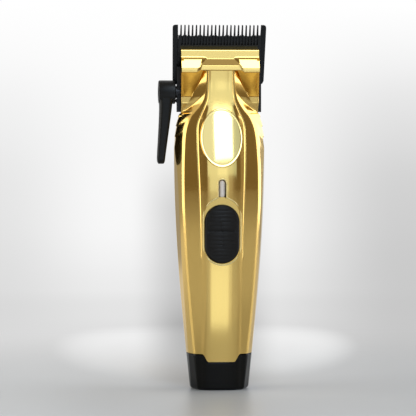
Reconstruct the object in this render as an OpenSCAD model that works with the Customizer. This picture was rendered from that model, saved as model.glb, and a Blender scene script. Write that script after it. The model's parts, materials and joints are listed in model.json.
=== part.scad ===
// Cordless hair clipper that stands on its base: a gold die-cast body, a black base cap,
// a toothed blade set with a taper lever, and a motor, cell and circuit board inside.
// Millimetres. +Z points up to the teeth, the switch faces -Y and the lever is on -X.
// The origin is the middle of the foot, on the floor.

/* [Body outline] */
// Half width of the body at the floor
base_hw = 14.5; // [13.8:0.1:15.5]
// Half width at the widest place
belly_hw = 22.4; // [22:0.1:24]
// Half width of the gold head, over the recesses
shoulder_hw = 19.2; // [18.8:0.1:19.6]
// Height of the widest place
belly_z = 118; // [114:0.5:122]
// Height where the shoulders end and the head starts
shoulder_z = 136.5; // [135:0.5:140]
// Depth of the front at the floor
base_front = 10.5; // [10.2:0.1:12]
// Depth of the front where it is deepest
belly_front = 17.2; // [17:0.1:19]
// Height where the front is deepest
front_z = 98; // [94:0.5:102]
// Depth of the neck's front under the cover
neck_front = 7.6; // [7.4:0.1:9]
// Height of the neck's end above the shoulders
neck_len = 21; // [20:0.1:21.4]
// Depth of the back at the floor
base_back = 11.5; // [11:0.1:13]
// Depth of the back where it is deepest
belly_back = 18.5; // [17.5:0.1:20]
// Height where the back is deepest
back_z = 100; // [96:0.5:104]
// Depth of the back behind the head
neck_back = 8.8; // [8.6:0.1:9.4]
// Wall of the two gold housings
wall = 1.6; // [1.2:0.1:1.7]
// Gap at the seams between the outer shells
seam_gap = 0.12; // [0.08:0.01:0.2]
// Half width of the flat strip down the middle of the front
flat_hw = 6.2; // [5.5:0.1:7]
// Angle of the flanks beside that strip
flank_a = 24; // [20:1:26]
// Distance from the widest line in to the front corner
corner_inset = 3.1; // [2.6:0.1:3.6]
// The same at the shoulders
shoulder_inset = 7; // [6:0.1:8]

/* [Base cap] */
// Height of the black base cap at its sides
cap_h = 17.4; // [16:0.1:19]
// How far the gold tongue drops into the front of the cap
tongue_drop = 4; // [3:0.1:5]
// Half width of the tongue at its tip
tongue_hw = 6.4; // [5.5:0.1:7]
// Thickness of the cap's floor
cap_floor = 2.2; // [1.8:0.1:2.6]
// Wall of the cap
cap_wall = 1.8; // [1.5:0.1:2]
// Radius of the charging jack's hole
jack_r = 1.75; // [1.5:0.05:2]
// Depth of the charging jack's hole
jack_depth = 10; // [8:0.5:11]

/* [Switch] */
// Half width of the switch button, which has round ends
button_hw = 8.9; // [8.2:0.1:9.4]
// Length of the switch button
button_len = 29.7; // [28:0.1:31]
// Height of the lower end of the switch button
button_z = 61.8; // [60:0.1:64]
// Travel of the switch button
button_travel = 3; // [2:0.1:3.4]
// Margin between the button and its pocket
button_gap = 0.5; // [0.3:0.05:0.7]
// Depth of the pocket's floor, from the axis
pocket_floor_y = 14.3; // [14:0.1:14.6]
// Half width of the indicator slot
lens_slot_hw = 1.7; // [1.5:0.1:2]
// Length of the indicator slot above the pocket
lens_slot_len = 9; // [7:0.1:10]
// Half width of the oval badge
badge_hw = 10.3; // [9.6:0.1:10.8]
// Half height of the oval badge
badge_hh = 14.6; // [13.5:0.1:15]
// Height of the badge's centre
badge_z = 124.4; // [123:0.1:125]

/* [Blades] */
// Height of the tooth tips above the shoulders
tip_rise = 43.5; // [42:0.1:46]
// Lean of the blade plane from upright
blade_lean = 15; // [14:0.5:16]
// Half width of the fixed blade at its teeth
blade_hw = 23.2; // [22.8:0.1:24]
// How much narrower the fixed blade is at its rear, each side
blade_taper = 0.5; // [0.2:0.1:0.8]
// Length of the fixed blade
blade_len = 30.2; // [29:0.1:30.6]
// Thickness of the fixed blade
blade_t = 2.6; // [2.2:0.1:2.8]
// Pitch of the fixed teeth
tooth_pitch = 1.9; // [1.7:0.05:2.1]
// Number of thin fixed teeth, without the two corner teeth
tooth_count = 21; // [17:2:21]
// Length of the slots between the fixed teeth
tooth_len = 9; // [7:0.5:10]
// Half width of the cutter
cutter_hw = 20.4; // [19:0.1:21]
// Thickness of the cutter
cutter_t = 1.9; // [1.6:0.1:2]
// Distance from the fixed tips to the cutter's tips
cutter_gap = 4.9; // [4:0.1:6]
// Length of the cutter
cutter_len = 13; // [12.8:0.1:13.2]
// Pitch of the cutter's teeth
cutter_pitch = 1.49; // [1.4:0.01:1.7]
// Number of slots in the cutter
cutter_slots = 26; // [20:1:26]

/* [Taper lever] */
// Radius of the lever's hub
hub_r = 5.85; // [5.4:0.05:6.2]
// Width of the hub
hub_w = 8.3; // [7.5:0.1:9]
// Length of the arm below the hub's centre
arm_len = 35.6; // [30:0.1:38]
// Depth of the lever's axis behind the body's axis
lever_y = 2.5; // [2.3:0.1:2.7]
// Height of the lever's axis above the shoulders
lever_rise = 10.5; // [10.3:0.1:10.8]
// Radius of the lever's shaft
lever_shaft_r = 2.5; // [2:0.1:2.6]
// Throw of the crank pin
crank_r = 1.9; // [1.5:0.1:2]
// Swing of the lever from closed to open
lever_swing = 50; // [40:1:50]

/* [Drive] */
// Radius of the motor
motor_r = 10; // [9.5:0.1:10.1]
// Length of the motor's can
motor_len = 25; // [22:0.5:25]
// Depth of the motor's axis in front of the body's axis
motor_y = 1.5; // [1.4:0.1:1.7]
// Throw of the eccentric pin
throw = 1; // [0.6:0.1:1]
// Radius of the roller on the eccentric pin
roller_r = 2; // [1.7:0.1:2.1]
// Radius of the motor's shaft
shaft_r = 1; // [0.8:0.05:1.1]
// Radius of the cell
cell_r = 9.2; // [8.8:0.1:9.3]
// Length of the cell
cell_len = 65; // [60:0.5:65]

/* [Hidden] */
$fn = 64;

slip = 0.05;             // radial clearance of a turning or sliding fit
gap = 0.1;               // clearance between neighbours that don't move
fillet_p = 50;           // power of the rounding between the section's planes
side_a = 80;             // angle of the side planes from the front
half_steps = 18;         // points from the middle of the front to the side
ring_step = 5;           // spacing of the loft's rings
roll_z = shoulder_z + neck_len;              // lower edge of the cover's roll
neck_top_z = roll_z - seam_gap;
tip_z = shoulder_z + tip_rise;
tip_y = -2;                                  // the fixed teeth's front face at the tips
neck_hw = 6.9;                               // half width of the neck's front
recess_y = 4.6;                              // depth of the recesses beside the neck
cover_foot_z = shoulder_z + 8.1;
cover_top_z = shoulder_z + 31.4;
cover_hw = shoulder_hw;
cover_wall = 1.2;
lens_r = 1.15;
button_top_z = button_z + button_len;
pocket_top_z = button_top_z + button_travel + button_gap;
pocket_back_y = pocket_floor_y - wall;       // back of the pocket's floor
stem_z = (button_z + button_top_z) / 2;
split_y = 0.3;                               // front face of the head bracket, behind the cover
cheek_x = 16;                                // inner face of the bracket's cheeks
bracket_hw = 20.9;                           // outer face of the bracket's cheeks
cheek_top_z = shoulder_z + 23;
cross_z = shoulder_z + 1;                    // underside of the bracket's cross wall
cross_t = 4;
lever_z = shoulder_z + lever_rise;
hub_x = -21.7;                               // inner face of the hub
pin_r = 0.55;                                // radius of the crank pin
shaft_y1 = (lever_y - tip_y) * cos(blade_lean) + (lever_z - tip_z) * sin(blade_lean);
shaft_z1 = (lever_z - tip_z) * cos(blade_lean) - (lever_y - tip_y) * sin(blade_lean);
pin_y1 = shaft_y1 - crank_r * cos(lever_swing / 2);
pin_z1 = shaft_z1 - crank_r * sin(lever_swing / 2);
taper_travel = 2 * crank_r * sin(lever_swing / 2);
cutter_top = -cutter_gap;                    // in the blade plane
cutter_end = cutter_top - cutter_len;
cutter_face = -slip - cutter_t;
yoke_t = 1.5;
fork_z = shoulder_z + 15;                    // lower end of the fork
fork_top_z = fork_z + 9;
fork_slot = roller_r + 2 * throw + 0.3;      // half width of the slot, clear at every pair of positions
roller_z = fork_z + 0.4;
roller_len = 3.9;
board_y = -8;                                // front face of the circuit board
board_t = 1.2;
board_z = 26;
cell_y = 2.8;
cell_z = 24;
cell_top_z = cell_z + cell_len;
motor_z = cell_top_z + 8;                    // underside of the motor's can
board_top_z = motor_z - 5;
motor_top_z = motor_z + motor_len;
motor_cap_t = 2.5;
plate_z = motor_top_z;                       // underside of the chassis plate over the motor
plate_t = 2.2;
cam_z = plate_z + 3;
cam_top_z = shoulder_z + 13;
cam_r = 3;
sleeve_r = 4.6;                              // outside of the upper bearing
screw_x = [15.9, 17.5];                      // the housing screws
screw_z = [56, 112];
screw_r = 1.1;
screw_seat_y = 8;
base_screw_x = 10;
jack_y = -4;
contact_x = 4.2;
contact_y = 6.5;
blade_screw_x = 18.3;
blade_screw_z1 = 4.2 - blade_len;
carriage_end = 1.7 - blade_len;
rear_top_z = tip_z - (blade_len + 0.55) * cos(blade_lean);
bracket_screw = [12.8, 1.2];
yoke_screw_z1 = cutter_end + 1.7;
gill_z = [shoulder_z - 1.6, shoulder_z - 6.2, shoulder_z - 11.6, shoulder_z - 17];
gill_depth = 0.55;

// ---------------------------------------------------------------- shared functions

function mix(a, b, t) = a + (b - a) * t;
function clamp01(t) = min(1, max(0, t));
function ease(t) = let (u = clamp01(t)) u * u * (3 - 2 * u);

// Half width of the body at height z: a quarter sine up to the belly, a quarter ellipse above it.
function half_w(z) = z <= belly_z
    ? base_hw + (belly_hw - base_hw) * sin(90 * max(z, 0) / belly_z)
    : shoulder_hw + (belly_hw - shoulder_hw) * sqrt(max(0, 1 - pow((z - belly_z) / (shoulder_z - belly_z), 2)));

// Depth of the front at height z: a quarter sine up to the deepest place, half a cosine above it.
function front_d(z) = z <= front_z
    ? base_front + (belly_front - base_front) * sin(90 * max(z, 0) / front_z)
    : neck_front + (belly_front - neck_front) * (0.5 + 0.5 * cos(180 * clamp01((z - front_z) / (neck_top_z - front_z))));

// Depth of the back at height z, made the same way.
function back_d(z) = z <= back_z
    ? base_back + (belly_back - base_back) * sin(90 * max(z, 0) / back_z)
    : neck_back + (belly_back - neck_back) * (0.5 + 0.5 * cos(180 * clamp01((z - back_z) / (shoulder_z + 15.5 - back_z))));

// How far the section has turned from body to shoulder, 0 to 1.
function shoulder_t(z) = ease((z - belly_z + 6) / (shoulder_z - belly_z + 6));

// The planes of the front half section: [angle from the front, distance from the axis].
function front_planes(z, t) =
    let (f = front_d(z), w = half_w(z), xc = w - mix(corner_inset, shoulder_inset, shoulder_t(z)),
         yc = f - (xc - flat_hw) * tan(flank_a), a2 = mix(66, 50, shoulder_t(z)),
         d1 = flat_hw * sin(flank_a) + f * cos(flank_a), d2 = xc * sin(a2) + yc * cos(a2),
         d3 = w * sin(side_a) * pow(2, 1 / fillet_p))
    [[0, f - t], [flank_a, d1 - t], [-flank_a, d1 - t], [a2, d2 - t], [side_a, d3 - t], [180 - side_a, d3 - t]];

// Distance from the axis to the rounded polygon of those planes, in the direction a from the front.
function front_r(a, planes) =
    pow([for (p = planes) pow(max(0, cos(a - p[0])) / p[1], fillet_p)] * [for (p = planes) 1], -1 / fillet_p);

// Right half of the front section, from the middle to the side.
function front_half(z, t) = let (planes = front_planes(z, t))
    [for (k = [0:half_steps]) let (a = 90 * k / half_steps, r = front_r(a, planes)) [r * sin(a), -r * cos(a)]];

// Right half of the back section, from the middle to the side: a superellipse.
function back_half(z, t) = let (w = half_w(z) - t, b = back_d(z) - t - seam_gap, n = 2.6)
    [for (k = [0:half_steps]) let (a = 90 * k / half_steps,
        r = pow(pow(sin(a) / w, n) + pow(cos(a) / b, n), -1 / n)) [r * sin(a), seam_gap + r * cos(a)]];

// Edge of the shoulder and neck at height z, and the foot of the slope beside it.
neck_rise = 9.5;
function neck_edge(z) = mix(neck_hw, shoulder_hw, pow(1 - clamp01((z - shoulder_z) / (neck_rise + 4)), 1.6));
function neck_foot(z) = z < shoulder_z + neck_rise
    ? mix(13.9, shoulder_hw - 0.1, pow(1 - clamp01((z - shoulder_z) / neck_rise), 1.3))
    : mix(13.9, 9.2, clamp01((z - shoulder_z - neck_rise) / (neck_len - neck_rise - 1.5)));

// How much of the shoulder's facets is left at height z, the recess's floor and the neck's front there.
function facet_t(z) = 1 - clamp01((z - shoulder_z) / 5);
function neck_low(z) = mix(recess_y, 0.8, facet_t(z));
function neck_y(x, z) = max(neck_low(z) + 0.01, front_d(z) - max(0, x - flat_hw) * tan(flank_a)
    - max(0, x - shoulder_hw + shoulder_inset) * (tan(50) - tan(flank_a)) * facet_t(z));

// Right half of the neck's section: front, slope, recess floor and side. The recess ends at the cover.
function neck_half(z, t) =
    let (e = neck_edge(z) - 0.4 * t, g = neck_foot(z) - 0.7 * t, low = neck_low(z) - 0.9 * t,
         side = shoulder_hw - t)
    [for (k = [0:half_steps])
        k <= 9 ? [e * k / 9, -(neck_y(e * k / 9, z) - t)] :
        k <= 12 ? [mix(e, g, (k - 9) / 3), -mix(neck_y(e, z) - t, low, (k - 9) / 3)] :
        z >= cover_foot_z ? [g, -mix(low, 2, (k - 12) / 6)] :
        k <= 16 ? [mix(g, side, (k - 12) / 4), -low] :
        [side, -mix(low, 0, (k - 16) / 2)]];

// Both halves of a section at height z, as 3D points that run clockwise as seen from above.
function whole(half, z) = let (s = half[0][1] < 0 ? 1 : -1) concat(
    [for (k = [len(half) - 1:-1:1]) [s * half[k][0], half[k][1], z]],
    [for (p = half) [-s * p[0], p[1], z]]);

// A closed shell between rings of outer points and rings of inner points, which run the same way.
module shell(outer, inner) {
    rows = len(outer);
    cols = len(outer[0]);
    points = concat([for (r = outer) each r], [for (r = inner) each r]);
    o = function (i, j) i * cols + j;
    n = function (i, j) rows * cols + i * cols + j;
    faces = concat(
        [for (i = [0:rows - 2], j = [0:cols - 2]) each
            [[o(i, j), o(i, j + 1), o(i + 1, j + 1)], [o(i, j), o(i + 1, j + 1), o(i + 1, j)]]],
        [for (i = [0:rows - 2], j = [0:cols - 2]) each
            [[n(i, j), n(i + 1, j + 1), n(i, j + 1)], [n(i, j), n(i + 1, j), n(i + 1, j + 1)]]],
        [for (j = [0:cols - 2]) each
            [[o(0, j), n(0, j + 1), o(0, j + 1)], [o(0, j), n(0, j), n(0, j + 1)]]],
        [for (j = [0:cols - 2], i = rows - 1) each
            [[o(i, j), o(i, j + 1), n(i, j + 1)], [o(i, j), n(i, j + 1), n(i, j)]]],
        [for (i = [0:rows - 2]) each
            [[o(i, 0), o(i + 1, 0), n(i + 1, 0)], [o(i, 0), n(i + 1, 0), n(i, 0)]]],
        [for (i = [0:rows - 2], j = cols - 1) each
            [[o(i, j), n(i + 1, j), o(i + 1, j)], [o(i, j), n(i, j), n(i + 1, j)]]]);
    polyhedron(points, faces);
}

// A closed solid through rings that go all the way round, clockwise as seen from the last one.
module loft(rings) {
    rows = len(rings);
    cols = len(rings[0]);
    last = rows * cols;
    middle = function (ring) [for (p = ring) 1] * ring / cols;
    polyhedron(concat([for (r = rings) each r], [middle(rings[0]), middle(rings[rows - 1])]), concat(
        [for (i = [0:rows - 2], j = [0:cols - 1]) let (k = (j + 1) % cols) each
            [[i * cols + j, i * cols + k, (i + 1) * cols + k], [i * cols + j, (i + 1) * cols + k, (i + 1) * cols + j]]],
        [for (j = [0:cols - 1]) [(j + 1) % cols, j, last]],
        [for (j = [0:cols - 1]) [last - cols + j, last - cols + (j + 1) % cols, last + 1]]));
}

// Evenly spaced heights from a to b.
function levels(a, b) = let (n = ceil((b - a) / ring_step)) [for (i = [0:n]) mix(a, b, i / n)];

// Whole section of front and back at height z, all the way round, drawn in by t.
function full_ring(z, t) = let (b = back_half(z, t)) concat(whole(front_half(z, t), z),
    [for (k = [half_steps - 1:-1:0]) [-b[k][0], b[k][1], z]],
    [for (k = [1:half_steps - 1]) [b[k][0], b[k][1], z]]);

// Places children in the blade plane: the origin at the tooth tips, Z up the teeth, Y out of the back.
module on_blade() translate([0, tip_y, tip_z]) rotate([blade_lean, 0, 0]) children();

// Depth of the blade plane at height z.
function blade_y(z) = tip_y + (tip_z - z) * tan(blade_lean);

// A stadium with its long way along Z, cut through Y from y0 to y1.
module stadium_y(hw, z0, z1, y0, y1) translate([0, y1, 0]) rotate([90, 0, 0]) linear_extrude(y1 - y0) {
    translate([0, z0 + hw]) circle(hw);
    translate([0, z1 - hw]) circle(hw);
    translate([-hw, z0 + hw]) square([2 * hw, z1 - z0 - 2 * hw]);
}

// A cylinder along Y from y0 to y1.
module rod_y(r, x, z, y0, y1) translate([x, y0, z]) rotate([-90, 0, 0]) cylinder(r = r, h = y1 - y0);

// A cylinder along X from x0 to x1.
module rod_x(r, y, z, x0, x1) translate([x0, y, z]) rotate([0, 90, 0]) cylinder(r = r, h = x1 - x0);

// A screw along +Z: a pan head below the origin and a shank above it.
module screw(head_r, head_h, shank_r, shank_len) difference() {
    union() {
        translate([0, 0, -head_h]) cylinder(r = head_r, h = head_h);
        cylinder(r = shank_r, h = shank_len);
    }
    for (a = [0, 90]) rotate(a) translate([-0.3, -head_r * 0.7, -head_h - 1])
        cube([0.6, head_r * 1.4, 1 + head_h / 2]);
}

// Mirrored copy to the left of what is drawn on the right.
module both() {
    children();
    mirror([1, 0, 0]) children();
}

// A spring of round wire from z0 to z1 about the Z axis.
module coil(r, wire, turns, z0, z1) {
    n = turns * 12;
    loft([for (i = [0:n]) let (a = 30 * i, z = mix(z0 + wire, z1 - wire, i / n))
        [for (b = [0:5]) let (q = r + wire * cos(60 * b)) [q * cos(a), q * sin(a), z + wire * sin(60 * b)]]]);
}

// An insulated wire of radius r through points that lie in a plane of constant x.
module lead(x, r, path) {
    last = len(path) - 1;
    loft([for (i = [0:last]) let (d = path[min(i + 1, last)] - path[max(i - 1, 0)], n = [-d[1], d[0]] / norm(d))
        [for (b = [0:36:324]) [x + r * cos(b), path[i][0] + r * sin(b) * n[0], path[i][1] + r * sin(b) * n[1]]]]);
}

// ---------------------------------------------------------------- outer shells

module front_solid(t) loft([for (z = levels(screw_z[0] - 5, screw_z[1] + 5)) whole(front_half(z, t), z)]);

// The cap's edge beside the tongue, as a shape on the front.
module tongue_sides() both() polygon([[tongue_hw - seam_gap, 0], [tongue_hw - seam_gap, cap_h - tongue_drop],
    [tongue_hw + 2.65 - seam_gap, cap_h + seam_gap], [40, cap_h + seam_gap], [40, 0]]);

// Three flutes like feathers on the side of the shoulder, deepest just under each tip.
module gills() both() for (i = [0:2]) rotate([90, 0, 0]) linear_extrude(9)
    polygon([[half_w(gill_z[i]) + 2, gill_z[i]], [half_w(gill_z[i]) - gill_depth, gill_z[i] - 0.5],
        [half_w(gill_z[i + 1]), gill_z[i + 1]], [half_w(gill_z[i + 1]) + 2, gill_z[i + 1]]]);

module front_housing() color("#c9a253") difference() {
    union() {
        body_z = levels(cap_h - tongue_drop, shoulder_z);
        low_z = levels(shoulder_z + 0.4, cover_foot_z - seam_gap / 2);
        top_z = concat(levels(cover_foot_z, neck_top_z - 1.4), [neck_top_z]);
        shell(concat([for (z = body_z) whole(front_half(z, 0), z)],
                     [for (z = low_z) whole(neck_half(z, 0), z)],
                     [for (z = top_z) whole(neck_half(z, 0), z)]),
              concat([for (z = body_z) whole(front_half(z, wall), z)],
                     [for (z = low_z) whole(neck_half(z, wall), z)],
                     [for (z = top_z) whole(neck_half(z, wall), z)]));
        intersection() {
            union() {
                stadium_y(button_hw + button_gap + 1.4, button_z - button_gap - 1.4, pocket_top_z + 1.4,
                    -20, -pocket_back_y);
                both() for (i = [0, 1]) rod_y(2.4, screw_x[i], screw_z[i], -20, -0.15);
            }
            front_solid(0.4);
        }
    }
    both() for (i = [0, 1]) rod_y(screw_r, screw_x[i], screw_z[i], -7, 1);
    stadium_y(button_hw + button_gap, button_z - button_gap, pocket_top_z, -30, -pocket_floor_y);
    stadium_y(lens_slot_hw, pocket_top_z + 0.2, pocket_top_z + lens_slot_len, -30, -10);
    stadium_y(lens_slot_hw, pocket_top_z - 3, pocket_top_z + lens_slot_len, -30, -15.9);
    translate([-2.2, -30, stem_z - 2.2]) cube([4.4, 20, 4.4 + button_travel]);
    rotate([90, 0, 0]) linear_extrude(40) tongue_sides();
    translate([-30, -7, 0]) cube([60, 20, cap_h + seam_gap]);
    for (s = [-1, 1]) intersection() {
        multmatrix([[1, s * tan(90 - side_a), 0, 0], [0, 1, 0, 0], [0, 0, 1, 0]]) gills();
        translate([s * 20, -10, 128]) cube([30, 30, 60], center = true);
    }
}

// The four bosses of the rear housing, with a hole for each screw.
module rear_bosses() difference() {
    intersection() {
        both() for (i = [0, 1]) rod_y(3.3, screw_x[i], screw_z[i], 0.2, 30);
        back_solid(0.4);
    }
    both() for (i = [0, 1]) rod_y(screw_r + 0.1, screw_x[i], screw_z[i], -1, screw_seat_y + 1);
}

module back_solid(t) loft([for (z = levels(screw_z[0] - 10, screw_z[1] + 10)) whole(back_half(z, t), z)]);

module rear_housing() color("#b58f45") difference() {
    union() {
        back_z = levels(cap_h + seam_gap, rear_top_z);
        shell([for (z = back_z) [for (p = whole(back_half(z, 0), z)) p]],
              [for (z = back_z) [for (p = whole(back_half(z, wall), z)) p]]);
        rear_bosses();
    }
    both() {
        for (i = [0, 1]) rod_y(2.3, screw_x[i], screw_z[i], screw_seat_y, 30);
        translate([cheek_x - 0.15, -1, shoulder_z + 0.4]) cube([20, 40, 40]);
    }
    rod_x(lever_shaft_r + 0.4, lever_y, lever_z, -20, -14);
    translate([0, 6, 0]) gills();
}

// The cover's section: outside, then inside. Depth and height.
function roll_arc(y, z, r, a0, a1) = [for (i = [0:8]) let (a = mix(a0, a1, i / 8)) [y - r * cos(a), z + r * sin(a)]];

module blade_cover() color("#d8b76a") difference() {
    rotate([90, 0, 90]) translate([0, 0, -cover_hw]) linear_extrude(2 * cover_hw) polygon(concat(
        [[0, cover_foot_z + seam_gap], [-recess_y, cover_foot_z + seam_gap], [-recess_y, roll_z]],
        roll_arc(-5.9, roll_z + 2.95, 2.95, -90, 78),
        [[-6.1, roll_z + 6], [-4.9, cover_top_z - 0.3], [-4.6, cover_top_z], [-1.15, cover_top_z], [0, roll_z + 6]]));
    rotate([90, 0, 90]) translate([0, 0, cover_wall - cover_hw]) linear_extrude(2 * (cover_hw - cover_wall))
        polygon([[1, cover_foot_z - 1], [cover_wall - recess_y, cover_foot_z - 1], [cover_wall - recess_y, roll_z],
            [-5.6, roll_z + 0.6], [-5.6, roll_z + 4.4], [-3.7, cover_top_z - 0.9], [1, cover_top_z - 0.9]]);
    translate([-7.6, -5.6, roll_z - 1]) cube([15.2, 8, 2]);
    rotate([90, 0, 0]) linear_extrude(40) polygon(concat(
        [for (z = [cover_foot_z - 1, shoulder_z + neck_rise, neck_top_z - 1.4, roll_z]) [neck_foot(z) + 0.15, z]],
        [for (z = [roll_z, neck_top_z - 1.4, shoulder_z + neck_rise, cover_foot_z - 1]) [-neck_foot(z) - 0.15, z]]));
}

module cheek() {
    difference() {
        translate([0, 0, shoulder_z + 0.7]) linear_extrude(cheek_top_z - shoulder_z - 0.7)
            polygon([[cheek_x, split_y], [bracket_hw, split_y], [bracket_hw, 5], [17.6, 8.3], [cheek_x, 8.3]]);
        on_blade() translate([0, 0, -blade_len - 0.1]) cube([40, 20, 60]);
        on_blade() rod_y(screw_r, blade_screw_x, blade_screw_z1, -2.6, 1);
    }
    translate([11, -1, plate_z + plate_t + gap]) cube([3.8, 4.4, cross_z - plate_z - plate_t - gap + 1]);
}

module head_bracket() color("#1b1b1c") difference() {
    union() {
        both() cheek();
        translate([0, 0, cross_z]) linear_extrude(cross_t) both_flat()
            polygon([[0, -2.4], [cheek_x - 1.5, -2.4], [cheek_x + 1, -0.2], [cheek_x + 1, 4.4],
                [cheek_x - 2, 5.2], [0, 5.2]]);
        translate([0, -motor_y, cross_z]) cylinder(r = sleeve_r + 1, h = cross_t);
    }
    translate([0, -motor_y, 0]) cylinder(r = sleeve_r, h = 200);
    rod_x(lever_shaft_r + slip, lever_y, lever_z, -30, 0);
    rod_x(1.25, lever_y, lever_z - 4.3, -30, -17.2);
    both() translate([each bracket_screw, plate_z]) cylinder(r = 0.9, h = plate_t + 9);
}

// ---------------------------------------------------------------- base cap

cap_round = 1.7;
function cap_in(z) = z < cap_round ? cap_round - sqrt(max(0, 2 * cap_round * z - z * z)) : 0;

module base_cap() color("#141415") difference() {
    union() {
        difference() {
            loft([for (z = [0, 0.12, 0.45, 1, cap_round, 5.5, 9.5, 13.5, cap_h]) full_ring(z, cap_in(z) + 0.02)]);
            loft([for (z = [cap_floor, 7, 12, cap_h + 1]) full_ring(z, cap_wall)]);
        }
        for (x = [-1, 1]) translate([x * base_screw_x, 0, cap_floor - 0.5])
            cylinder(r = 2.3, h = cap_h - cap_floor + 0.5);
    }
    rotate([90, 0, 0]) linear_extrude(40) polygon([[-tongue_hw, cap_h - tongue_drop - seam_gap],
        [tongue_hw, cap_h - tongue_drop - seam_gap], [tongue_hw + 2.65, cap_h], [tongue_hw + 2.65, cap_h + 9],
        [-tongue_hw - 2.65, cap_h + 9], [-tongue_hw - 2.65, cap_h]]);
    translate([0, jack_y, -1]) cylinder(r = jack_r, h = 20);
    for (x = [-1, 1]) {
        translate([x * base_screw_x, 0, -1]) cylinder(r = screw_r + 0.1, h = 30);
        translate([x * base_screw_x, 0, -1]) cylinder(r = 2.1, h = 2.4);
        translate([x * contact_x, contact_y, -1]) cylinder(r = 1.6, h = 10);
    }
}

// ---------------------------------------------------------------- switch, badge and light

module badge_plate() color("#e4c884") intersection() {
    columns = [11, 8.6, flat_hw, 3, 0, -3, -flat_hw, -8.6, -11];
    rows = [for (i = [0:10]) badge_z - badge_hh - 1 + i * (2 * badge_hh + 2) / 10];
    y_at = function (x, z) -(front_d(z) - max(0, abs(x) - flat_hw) * tan(flank_a));
    shell([for (z = rows) [for (x = columns) [x, y_at(x, z) - 0.5, z]]],
          [for (z = rows) [for (x = columns) [x, y_at(x, z) - 0.03, z]]]);
    rotate([90, 0, 0]) linear_extrude(40) polygon([for (i = [0:71]) [badge_hw * sin(5 * i),
        badge_z + badge_hh * cos(5 * i)]]);
}

module switch_button() color("#2a2a2b") {
    difference() {
        intersection() {
            stadium_y(button_hw, button_z, button_top_z, -19, -pocket_floor_y - slip);
            translate([0, 4.2, 0]) cylinder(r = 22, h = 200, $fn = 128);
        }
        for (i = [-6:6]) translate([-20, -18.6, stem_z + 1.9 * i - 0.3]) cube([40, 1.1, 0.6]);
    }
    translate([-2, -pocket_floor_y - slip, stem_z - 2]) cube([4, pocket_floor_y + slip - 12.6, 4]);
}

module switch_knob() color("#ddd8cc") translate([-1.5, -12.6, stem_z - 1.5]) cube([3, 1.7, 3]);

module slide_switch() color("#8d9095") translate([-4.5, -10.9 + slip, stem_z - 6.5])
    cube([9, 2.9 - slip, 13 + button_travel]);

module indicator_lens() color("#c9c0b2") {
    stadium_y(lens_r, pocket_top_z + 0.5, pocket_top_z + lens_slot_len - 0.5, -16.9, -15.3);
    stadium_y(lens_slot_hw - gap, pocket_top_z + 0.3, pocket_top_z + lens_slot_len - 0.1, -15.3, -14.9);
}

module indicator_led() color("#f4f1e6") {
    translate([-1.2, -14.8, pocket_top_z + 3]) cube([2.4, 1.9, 2.6]);
    translate([-1.2, 0, 0]) rotate([90, 0, 90]) linear_extrude(2.4) polygon([[-12.9, pocket_top_z + 7],
        [-12.6, pocket_top_z + 7], [-12.6, pocket_top_z + 2.4], [-12.35, pocket_top_z + 2],
        [-12.35, board_top_z + 1.7], [board_y - 0.02, board_top_z - 0.1], [board_y - 0.02, board_top_z - 0.8],
        [board_y - 0.4, board_top_z - 0.8], [board_y - 0.4, board_top_z - 0.1], [-12.65, board_top_z + 1.5],
        [-12.65, pocket_top_z + 1.9], [-12.9, pocket_top_z + 2.3]]);
}

// ---------------------------------------------------------------- blades

module fixed_blade() color("#101011") on_blade() difference() {
    intersection() {
        rotate([90, 0, 90]) translate([0, 0, -30]) linear_extrude(60)
            polygon([[0, -blade_len], [blade_t, -blade_len], [blade_t, -tooth_len - 2], [0.9, 0], [0, 0]]);
        translate([0, 10, 0]) rotate([90, 0, 0]) linear_extrude(20) both_flat() polygon([[0, 0], [blade_hw - 1.4, 0],
            [blade_hw - 0.4, -0.4], [blade_hw, -1.4], [blade_hw - blade_taper, 2 - blade_len],
            [blade_hw - blade_taper - 2, -blade_len], [0, -blade_len]]);
    }
    for (i = [0:tooth_count]) translate([(i - tooth_count / 2) * tooth_pitch, 10, 0]) rotate([90, 0, 0])
        linear_extrude(20) polygon([[-0.65, 1], [0.65, 1], [0.62, 0], [0.38, -tooth_len], [-0.38, -tooth_len], [-0.62, 0]]);
    both() rod_y(screw_r + 0.1, blade_screw_x, blade_screw_z1, -1, 9);
}

// Both mirrored halves of a flat shape.
module both_flat() {
    children();
    mirror([1, 0]) children();
}

module blade_screws() color("#3a3a3c") on_blade() both()
    translate([blade_screw_x, blade_t, blade_screw_z1]) rotate([90, 0, 0]) screw(2.2, 1.2, screw_r, blade_t + 2.4);

module cutter_blade() color("#1a1a1b") on_blade() difference() {
    translate([-cutter_hw, cutter_face, cutter_end]) cube([2 * cutter_hw, cutter_t, cutter_len]);
    for (i = [1:cutter_slots]) translate([(i - (cutter_slots + 1) / 2) * cutter_pitch - 0.38, -9, cutter_top - 4.7])
        cube([0.76, 18, 9]);
    both() rod_y(0.8, 5.5, yoke_screw_z1, -9, 9);
}

module cutter_yoke() color("#d9d6cc") {
    on_blade() difference() {
        translate([-8, cutter_face - yoke_t, -21.8]) cube([16, yoke_t, 21.8 + cutter_end + 3]);
        both() rod_y(0.8, 5.5, yoke_screw_z1, -9, 9);
    }
    difference() {
        translate([-5.3, -5, fork_z]) cube([10.6, 6.7, fork_top_z - fork_z]);
        translate([-fork_slot, -9, fork_z - 1]) cube([2 * fork_slot, 20, 7.5]);
        on_blade() translate([-20, cutter_face, -60]) cube([40, 20, 60]);
    }
}

module yoke_screws() color("#a9abad") on_blade() both()
    translate([5.5, cutter_face - yoke_t, yoke_screw_z1]) rotate([-90, 0, 0]) screw(1.2, 0.8, 0.8, yoke_t + 1.4);

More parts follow.
